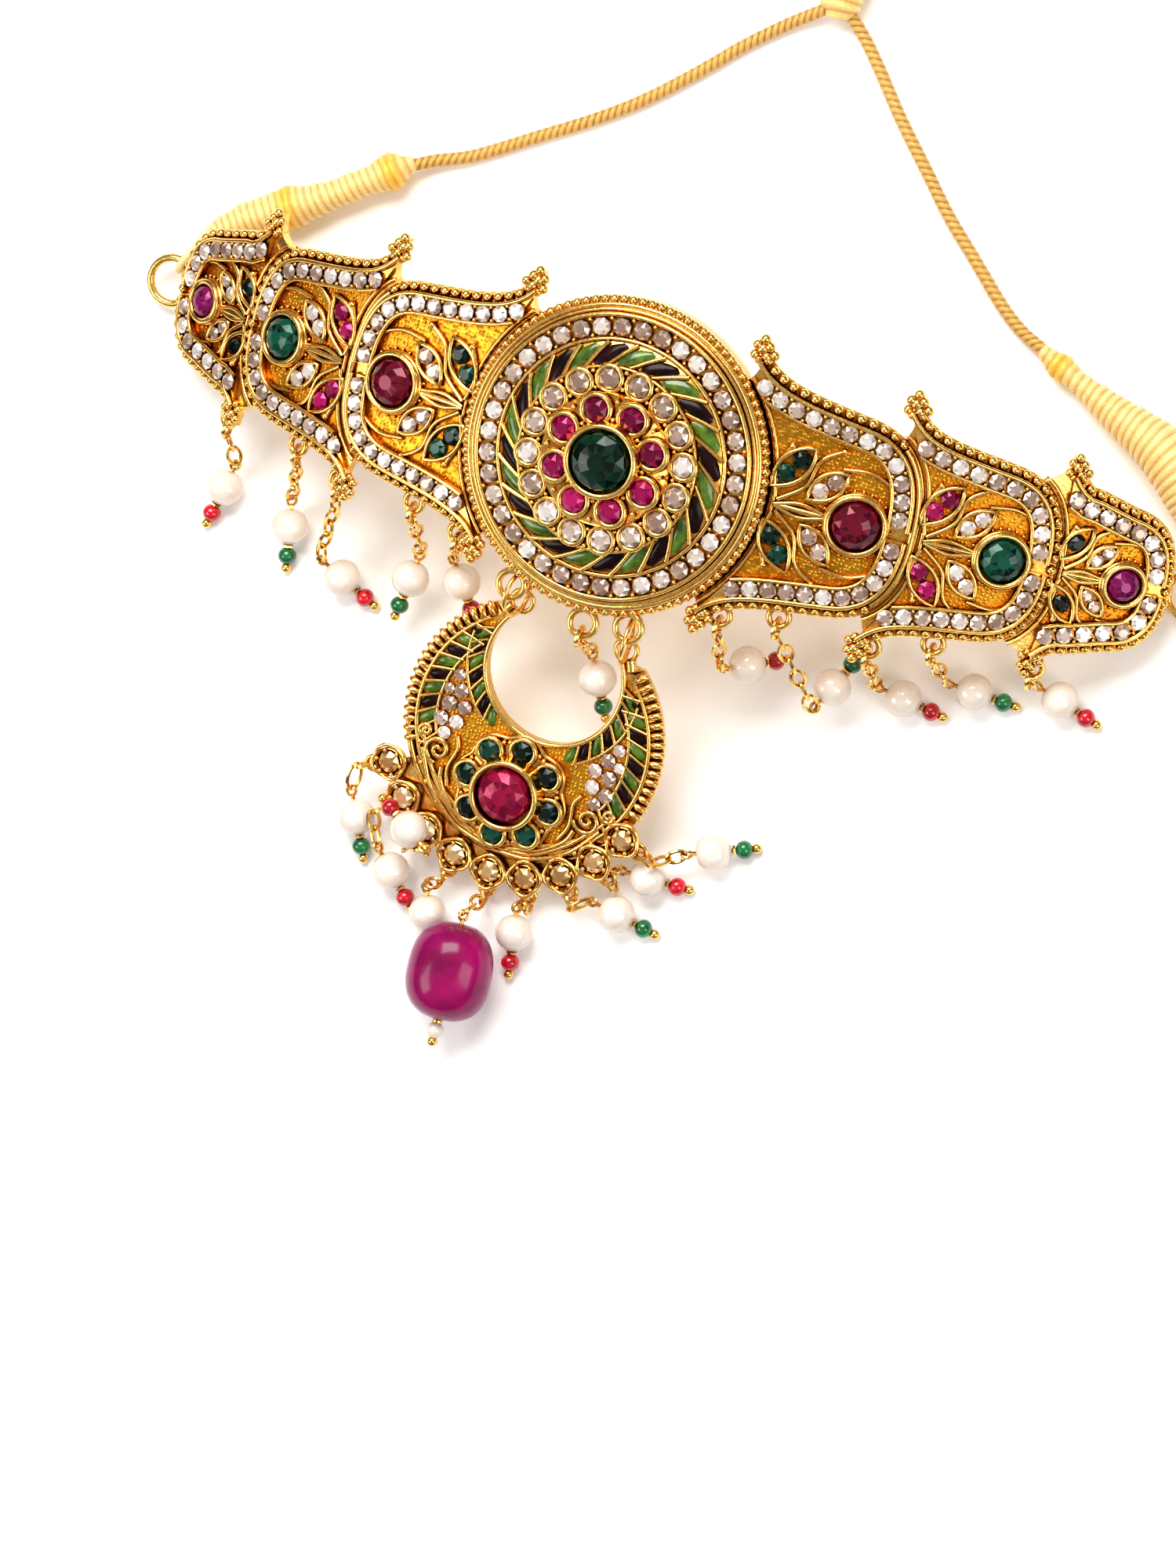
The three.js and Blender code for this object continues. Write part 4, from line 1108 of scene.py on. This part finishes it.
crescent = {
    "radius": 17, "bay": 9, "bayCentre": 8.3, "tip": 13.5, "flower": -8.2, "thick": 0.8,
    "cog": (0.5, 1.1, 0.66), "cogPitch": 4.3, "cups": 9, "cupStep": 15.5, "cupMiddle": -82.7,
    "cupOrigin": (-1.2, -1.2), "cupDistance": 18, "cup": 1.9, "cupStone": (1.42, 1.42, 1.3),
    "loopDistance": 20.5, "cupLoop": 0.95, "tipLoop": 1.4, "tipLoopAt": (7.3, 15.0),
    "ruby": (3.5, 3.5, 3.3), "petals": 8, "petalAt": 5.75, "petal": 1.36,
    "leafRings": [  # centre, leaves, first, step, inner radii, outer radius, sweep, width, wire, colours, rim
        (0, 9, 43, 8.0, (13.2, 12.5), 15.2, 6.0, 7.6, 0.21, ("dark", "green"), (12.75, 52, 17)),
        (8.3, 7, 76, 10.4, (9.4, 9.4), 11.4, 7.5, 9.8, 0.2, ("green", "dark"), (11.5, 86, 16))],
    "scrolls": [([(0.4, -16.2), (5, -15.4), (9.6, -12.4), (12.6, -7.9)], 0.36),
                ([(1.2, -15.7), (5.4, -14.6), (9.0, -11.7), (11.6, -8.4)], 0.3),
                ([(2.4, -15.2), (6.2, -13.6), (8.9, -10.9), (9.4, -9.2)], 0.34),
                ([(7.9, -11.2), (8.6, -9.0), (8.2, -5.9), (8.8, -4.6)], 0.3)],
    "curls": [(10.55, -7.3, 1.85), (12.9, -5.6, 0.95)],
    "grains": [(12.1, -9.9), (10.6, -11.9), (8.4, -13.6), (13.2, -7.4)],
    "cluster": [(11.25, 2.9, 0.85), (10.35, 1.05, 1.0), (12.0, 0.75, 0.75), (9.2, -0.85, 1.0),
                (11.25, -1.1, 1.05), (9.6, -3.0, 1.0), (11.65, -3.3, 1.0), (10.6, -4.95, 0.9)],
    "boss": [(0, 0.2), (6.3, 0.2), (6.3, 1.0), (6.1, 1.3), (4.9, 1.6), (4.6, 2.6), (4.5, 3.3), (4.2, 3.5),
             (3.9, 3.4), (3.75, 1.9), (0, 1.9)],
    "cupProfile": [(0, -0.8), (1.65, -0.8), (1.8, 0.2), (1.9, 1.2), (1.7, 1.35), (1.45, 0.9), (0, 0.8)],
}


def cupAngle(c, cup):
    return math.radians(c["cupMiddle"] + (cup - (c["cups"] - 1) / 2) * c["cupStep"])


def slantedLeaf(middle, inner, outer, start, sweep, wide, way):
    # the two sides of a leaf that crosses a ring of the crescent at a slant
    turnAt = lambda edge, t: math.radians(start + way * (edge * wide + sweep * t ** 0.9))
    return [[polar(inner + (outer - inner) * t, turnAt(edge, t), 0, middle)
             for t in [k / 6 for k in range(7)]] for edge in (0, 1)]


def curl(x, y, radius, turns, start, way=1, count=26):  # a spiral, from its eye outwards
    return [polar(radius * (0.12 + 0.88 * i / count), start + way * 2 * math.pi * turns * i / count, x, y)
            for i in range(count + 1)]


def makeCrescent(c):
    tipAngle = math.degrees(math.asin(c["tip"] / c["radius"]))
    bayAngle = math.degrees(math.asin((c["tip"] - c["bayCentre"]) / c["bay"]))
    bayArc = lambda radius, degrees: arc(radius, degrees, 0, c["bayCentre"])
    outline = (arc(c["radius"], [tipAngle - (180 + 2 * tipAngle) * i / 89 for i in range(90)])
               + bayArc(c["bay"], [180 - bayAngle + (180 + 2 * bayAngle) * i / 59 for i in range(60)]))
    base, wires, sheet, wire, ring = bench(pendantSpot)
    spot = lambda *rest: spotAt(pendantSpot, *rest)
    coloured, grains, prongs, cupStones, cogs = {"green": newShape(), "dark": newShape()}, [], [], [], []
    height, flower = c["thick"] - 0.2, c["flower"]
    sheet(outline, -c["thick"], lambda x, y: c["thick"] - 0.25 if math.hypot(x, y) < 15.6 else -0.1)
    sheet(arc(15.2, range(46, -227, -4)) + bayArc(9.3, range(-202, 23, 4)), 0, height, slot=1)
    first, last = cupAngle(c, 0), cupAngle(c, c["cups"] - 1)
    collar = [polar(c["cupDistance"] - back, first + (last - first) * i / 40, *c["cupOrigin"])
              for back, steps in ((0, range(41)), (5, range(40, -1, -1))) for i in steps]
    sheet(collar, -0.75, 0.35, 1.5)
    addTurned(base, c["boss"], 48, pendantSpot, 0, flower)
    # rims: beside the cogs, along the bay, and a second one round the lower part
    wire(arc(15.35, range(int(tipAngle) - 1, -232, -4)), height + 0.15)
    wire(bayArc(9.15, range(-216, 37, 4)), height + 0.15, 0.34)
    wire(arc(16.6, range(-160, -20, 4)), 0.2, 0.45)
    wire(arc(14.4, range(-158, -20, 4)), height + 0.25)
    for way in (-1, 1):
        for middle, count, start, step, inner, outer, sweep, wide, thin, colors, rim in c["leafRings"]:
            for i in range(count):
                first = 90 + way * (start + i * step)
                sides = slantedLeaf(middle, inner[min(i, 1)], outer, first, sweep, wide, way)
                addLeaf(coloured[colors[i % 2]], *sides, pendantSpot, height + 0.1)
                wire(sides[0], height + 0.32, thin)
            if middle == 0:
                wire(sides[1], height + 0.32, thin)
            radius, start, count = rim
            degrees = [90 + way * (start + 4 * i) for i in range(count)]
            wire(arc(radius, degrees, 0, middle), height + 0.2, 0.24)
        for points, thick in c["scrolls"]:  # long leaves and scrolls in the lower part
            wire([(-way * q.x, q.y) for q in through(points, 7)], height + 0.3, thick)
        for x, y, radius in c["curls"]:
            wire(curl(-way * x, y, radius, 1.6, 1.0, way), height + 0.35, 0.32)
        grains += [spot(-way * x, y, height + 0.25, 0.42) for x, y in c["grains"]]
    for i in range(16):                     # small balls between the petals and on the flower's rim
        angle = math.pi / 4 * (i // 2 + (0.42 if i % 2 else 0.58))
        grains.append(spot(*polar(6.35, angle, 0, flower), 1.3, 0.36))
    petals = around(c["petalAt"], c["petals"], 0.0, 0, flower)
    for x, y, _ in petals:
        ring(x, y, 1.75, c["petal"] + 0.26, 0.36, 22)
    ring(0, flower, 3.45, 4.18, 0.42, 44)
    scallop = [polar(6.75 + 0.75 * abs(math.cos(2 * math.pi * i / 24)) ** 1.5, math.pi * i / 48, 0, flower)
               for i in range(96)]
    sheet(scallop, 0.2, 1.05)
    wire(scallop, 0.85, 0.34, True)
    for angle in [cupAngle(c, cup) for cup in range(c["cups"])]:  # cups with star rims, stones and loops
        cx, cy = polar(c["cupDistance"], angle, *c["cupOrigin"])
        addTurned(base, c["cupProfile"], 24, pendantSpot, cx, cy)
        star = [polar(c["cup"] + 0.12 + 0.28 * math.cos(i * math.pi / 6) ** 2, angle + i * math.pi / 12,
                      cx, cy) for i in range(24)]
        wire([(*q, 0.12 * math.cos(i * math.pi / 3)) for i, q in enumerate(star)], 1.3, 0.26, True)
        prongs += [spot(*polar(1.6, angle + (i + 0.5) * math.pi / 3, cx, cy), 1.45, 0.3) for i in range(6)]
        cupStones.append(spot(cx, cy, 1.15, c["cupStone"], angle))
        ring(*polar(c["loopDistance"], angle, *c["cupOrigin"]), 0, c["cupLoop"], 0.3, 20)
    for way in (-1, 1):
        x, y = c["tipLoopAt"]
        ring(way * x, y, 0, c["tipLoop"], 0.35)
        wire([(way * 8.9, c["tip"] - 0.6), (way * 8.3, c["tip"] + 0.6)], 0.2, 0.7)
    for i in range(60):
        angle = tipAngle - 2.5 - i * c["cogPitch"]
        for turn, stop in ((math.radians(angle), -17), (math.radians(180 - angle), -31)):
            if angle > stop:
                cogs.append(spot(*polar(16.35, turn), 0.4, c["cog"], turn + math.pi / 2))
    parts = [pieceFrom("crescentBase", base, [gold, fieldGold]), wirePiece("crescentWires", wires),
             goldSet("crescentCogs", cogs), goldSet("crescentGrains", grains + prongs, "grain")]
    settle(joinPieces("crescentGold", parts), "gold", "crescent_pendant")
    setStones("crescentClearStones", [spot(way * x, y, height + 0.3, size, x * 2 + y)
                                      for x, y, size in c["cluster"] for way in (1, -1)], clearGlass)
    setStones("crescentCupStones", cupStones, champagneGlass)
    petalSpots = [spot(x, y, 1.95, c["petal"], angle) for x, y, angle in petals]
    setStones("crescentPetalStones", petalSpots, greenGlass)
    settle(pieceFrom("crescentGreenLeaves", coloured["green"], [greenEnamel], 50), "green_enamel")
    settle(pieceFrom("crescentDarkLeaves", coloured["dark"], [darkEnamel], 50), "dark_enamel")
    setStones("crescentRuby", [spot(0, flower, 3.2, c["ruby"])], crimsonGlass, "pendant_ruby",
              shape="largeStone")


makeCrescent(crescent)
print("crescent made")

drops = {
    "pearl": 2.4, "bead": 1.2, "tiny": 1.1, "magenta": (5.5, 5.5, 6.3), "ring": 1.3, "ringWire": 0.29,
    "pin": 0.3, "link": 2.4, "linkWide": 0.84, "linkWire": 0.25, "eye": 0.62, "eyeWire": 0.22,
    "cap": 0.7, "end": 0.66,
    "band": [  # plate, loop, pearl centre, heading, dip, bead
        ("r1", 0, (20, -19, 8.5), 30, 35, "red"), ("r1", 1, (30.3, -18.4, 5), 70, 15, "green"),
        ("r2", 0, (38.7, -17, 2.5), -7, 18, "red"), ("r2", 1, (47, -13.6, 2.5), -1, 18, "green"),
        ("r3", 0, (57.6, -11.4, 2.5), -16, 18, "red"), ("l1", 0, (-18, -20, 9.5), -60, 35, "red"),
        ("l1", 1, (-25.6, -21.4, 6), -101, 20, "green"), ("l2", 0, (-35.3, -23.8, 2.5), -24, 18, "red"),
        ("l2", 1, (-44, -19.6, 2.5), -82, 18, "green"), ("l3", 0, (-53.9, -17.4, 2.5), -105, 18, "red"),
    ],
    "pendant": [  # cup, then as above
        (0, (-23.7, -51.9, 2.5), -66, 18, "green"), (1, (-17.2, -57, 2.5), -46, 18, "red"),
        (2, (-14.8, -51.4, 8.8), 150, 8, "red"), (3, (-10.9, -60.6, 2.5), -75, 18, "green"),
        (5, (0.6, -59.6, 2.5), -84, 18, "red"), (6, (12.4, -53.4, 2.5), -10, 18, "green"),
        (7, (14.8, -47.9, 2.5), 2, 18, "red"), (8, (21.8, -42.3, 2.5), 24, 18, "green"),
    ],
    "centre": ((2.6, -26.3, 9.5), -68, 32), "large": (4, (-4.9, -66.6, 5.6), -88, 8),
    "hangers": [("hangerLinkLeft", 0, -1, "hanger_link_l"), ("hangerLinkRight", 2, 1, "hanger_link_r")],
}


def spaceRing(centre, normal, radius, wire, count=22, stretch=None):
    # a wire ring in space; stretch is a half axis for an oval link
    normal = normal.normalized()
    a = (stretch if stretch else normal.orthogonal()).normalized()
    b = normal.cross(a).normalized()
    reach = stretch.length if stretch else radius
    return {"points": [centre + a * (reach * x) + b * (radius * y) for x, y, _ in around(1, count)],
            "closed": True, "radius": wire}


def chain(start, end, d):                   # oval links, each turned a quarter from the one before
    gap, links = end - start, []
    count, normal = max(1, round(gap.length / (d["link"] * mm))), gap.orthogonal().normalized()
    half = gap / count / 2
    half = half + half.normalized() * 0.22 * mm
    for i in range(count):
        links.append(spaceRing(start + gap * ((i + 0.5) / count), normal,
                               min(d["linkWide"] * mm, half.length * 0.8), d["linkWire"], 18, half))
        normal = gap.cross(normal).normalized()
    return links


def hangDrop(d, loop, radius, outDir, upDir, pearl, heading, dip, half, beadSize):
    # from the loop: ring, chain, eye, pin through the pearl, bead and ball end
    turn, fall = math.radians(heading), math.radians(dip)
    along = Vector((*polar(math.cos(fall), turn), -math.sin(fall)))
    centre = tableSpot(*pearl)
    eye = centre - along * (half + 1.3) * mm
    bead = centre + along * (half + beadSize + 0.25) * mm
    end = bead + along * (beadSize + 0.4) * mm
    hook = loop + outDir * radius * mm
    normal = outDir.cross(upDir).normalized()
    away = eye - hook
    away = (away - normal * away.dot(normal)).normalized()
    ringCentre = hook + away * 0.25 * mm
    far = ringCentre + away * d["ring"] * mm
    wires = [spaceRing(ringCentre, normal, d["ring"] * mm, d["ringWire"]),
             *chain(far - (eye - far).normalized() * 0.1 * mm, eye, d),
             spaceRing(eye + along * 0.35 * mm, along.orthogonal(), d["eye"] * mm, d["eyeWire"], 18),
             {"points": [eye + along * 0.9 * mm, end], "radius": d["pin"]},
             {"points": [centre + along * (half + deep) * mm for deep in (0.02, 0.3)], "radius": d["cap"]}]
    places = ((centre, half), (bead, (beadSize, beadSize, beadSize * 0.92)), (end, d["end"]))
    return wires, *([axisSpot(at, along, size)] for at, size in places)


def beadFrom(name, rows):
    shape = newShape()
    addRows(shape, rows)
    return repeatedShape(name, shape["points"], shape["faces"])


def pearlRows(count=32):                    # slightly flattened, with a dimple where the pin enters
    rows = []
    for fall in [math.pi * k / 20 for k in range(21)]:
        radius, height = math.sin(fall), 0.975 * math.cos(fall)
        if radius < 0.3:
            height -= math.copysign(0.05 * (1 - radius / 0.3), height)
        rows.append([(x, y, height) for x, y, _ in around(max(radius, 0.0001), count)])
    return rows


def tumbledRows(count=56):                  # the large bead: a rounded barrel, a little uneven
    rows = []
    for share in [-1 + 2 * k / 40 for k in range(41)]:
        radius = max((1 - abs(share) ** 2.6) ** (1 / 2.4), 0.02)
        waves = [(1 + 0.022 * math.cos(2 * a + 0.6) + 0.016 * math.sin(3 * a + 2.2 * share) + 0.03 * share, a)
                 for a in [2 * math.pi * i / count for i in range(count)]]
        rows.append([(*polar(radius * wave / 1.03, a), share * 0.985) for wave, a in waves])
    return rows


def wayOf(place, x, y, z):                  # a direction in a piece's own frame
    return (place(x, y, z) - place(0, 0, 0)).normalized()


def makeDrops(d):
    fromBand = (wayOf(discSpot, 0, -1, 0), wayOf(discSpot, 0, 0, 1))
    beads = {"red": (redBead, "red_glass"), "green": (greenBead, "green_glass")}
    made = []
    for plateName, index, pearl, heading, dip, bead in d["band"]:
        plate = plates["list"][int(plateName[1]) - 1]
        along, across, height = plateLoop(plate, plate["loops"][index])
        loop = bandSpot(along if plateName[0] == "r" else -along, across, height)
        hung = hangDrop(d, loop, plates["loopRadius"], *fromBand, pearl, heading, dip, d["pearl"], d["bead"])
        nodes = [f"drop_{plateName}_{index + 1}"]
        made.append((f"drop{plateName.upper()}x{index + 1}", bead, [], nodes, hung))

    def hangFromCup(cup, *rest):
        angle = cupAngle(crescent, cup)
        loop = pendantSpot(*polar(crescent["loopDistance"], angle, *crescent["cupOrigin"]), 0)
        return hangDrop(d, loop, crescent["cupLoop"], wayOf(pendantSpot, *polar(1, angle), 0),
                        wayOf(pendantSpot, 0, 0, 1), *rest)

    for cup, pearl, heading, dip, bead in d["pendant"]:
        made.append((f"dropCup{cup + 1}", bead, [f"drop_c{cup + 1}_pin"], [f"drop_c{cup + 1}_pearl"],
                     hangFromCup(cup, pearl, heading, dip, d["pearl"], d["bead"])))
    loop = discSpot(*medallionLoop(medallion["loops"][1]), 0.3)
    made.append(("dropCentre", "green", ["drop_centre_pin"], ["drop_centre_pearl"],
                 hangDrop(d, loop, medallion["loopRadius"], *fromBand, *d["centre"], d["pearl"], d["bead"])))
    for name, bead, pinNodes, pearlNodes, (wires, pearl, small, end) in made:
        material, slot = beads[bead]
        metal = [wirePiece(name + "Wires", wires, sides=7), goldSet(name + "End", end)]
        settle(joinPieces(name + "Pin", metal), "gold", *pinNodes)
        settle(setPiece(name + "Pearl", pearl, "pearl", pearlShell, 60), "pearl", *pearlNodes)
        settle(setPiece(name + "Bead", small, "ball", material, 60), slot)
    # the large bead with a tiny pearl below it
    half = d["magenta"][2]
    wires, large, tiny, end = hangFromCup(*d["large"], half, d["tiny"])
    large[0]["size"], tiny[0]["size"] = d["magenta"], (d["tiny"],) * 3
    metal = [wirePiece("magentaWires", wires), goldSet("magentaEnd", end)]
    settle(joinPieces("magentaPin", metal), "gold", "magenta_pin")
    settle(setPiece("magentaBead", large, "tumbled", magentaStone, 60), "magenta_stone", "magenta_bead")
    settle(setPiece("tinyPearl", tiny, "pearl", pearlShell, 60), "pearl")
    for name, upper, way, node in d["hangers"]:  # rings that carry the pendant
        x, y = medallionLoop(medallion["loops"][upper])
        footX, footY = crescent["tipLoopAt"]
        top = discSpot(x, y - medallion["loopRadius"], 0.3)
        foot = pendantSpot(way * footX, footY + crescent["tipLoop"], 0)
        down = foot - top
        normal = Vector((1, 0, 0)) - down * (down.x / down.length_squared)
        ring = spaceRing((top + foot) / 2, normal, down.length / 2 + 0.82 * mm, 0.3, 30)
        settle(wirePiece(name, [ring], sides=10), "gold", node)


shapes["pearl"] = beadFrom("pearlShape", pearlRows())
shapes["tumbled"] = beadFrom("tumbledShape", tumbledRows())
makeDrops(drops)
print("drops made")

for shape in shapes.values():
    bpy.data.objects.remove(shape)
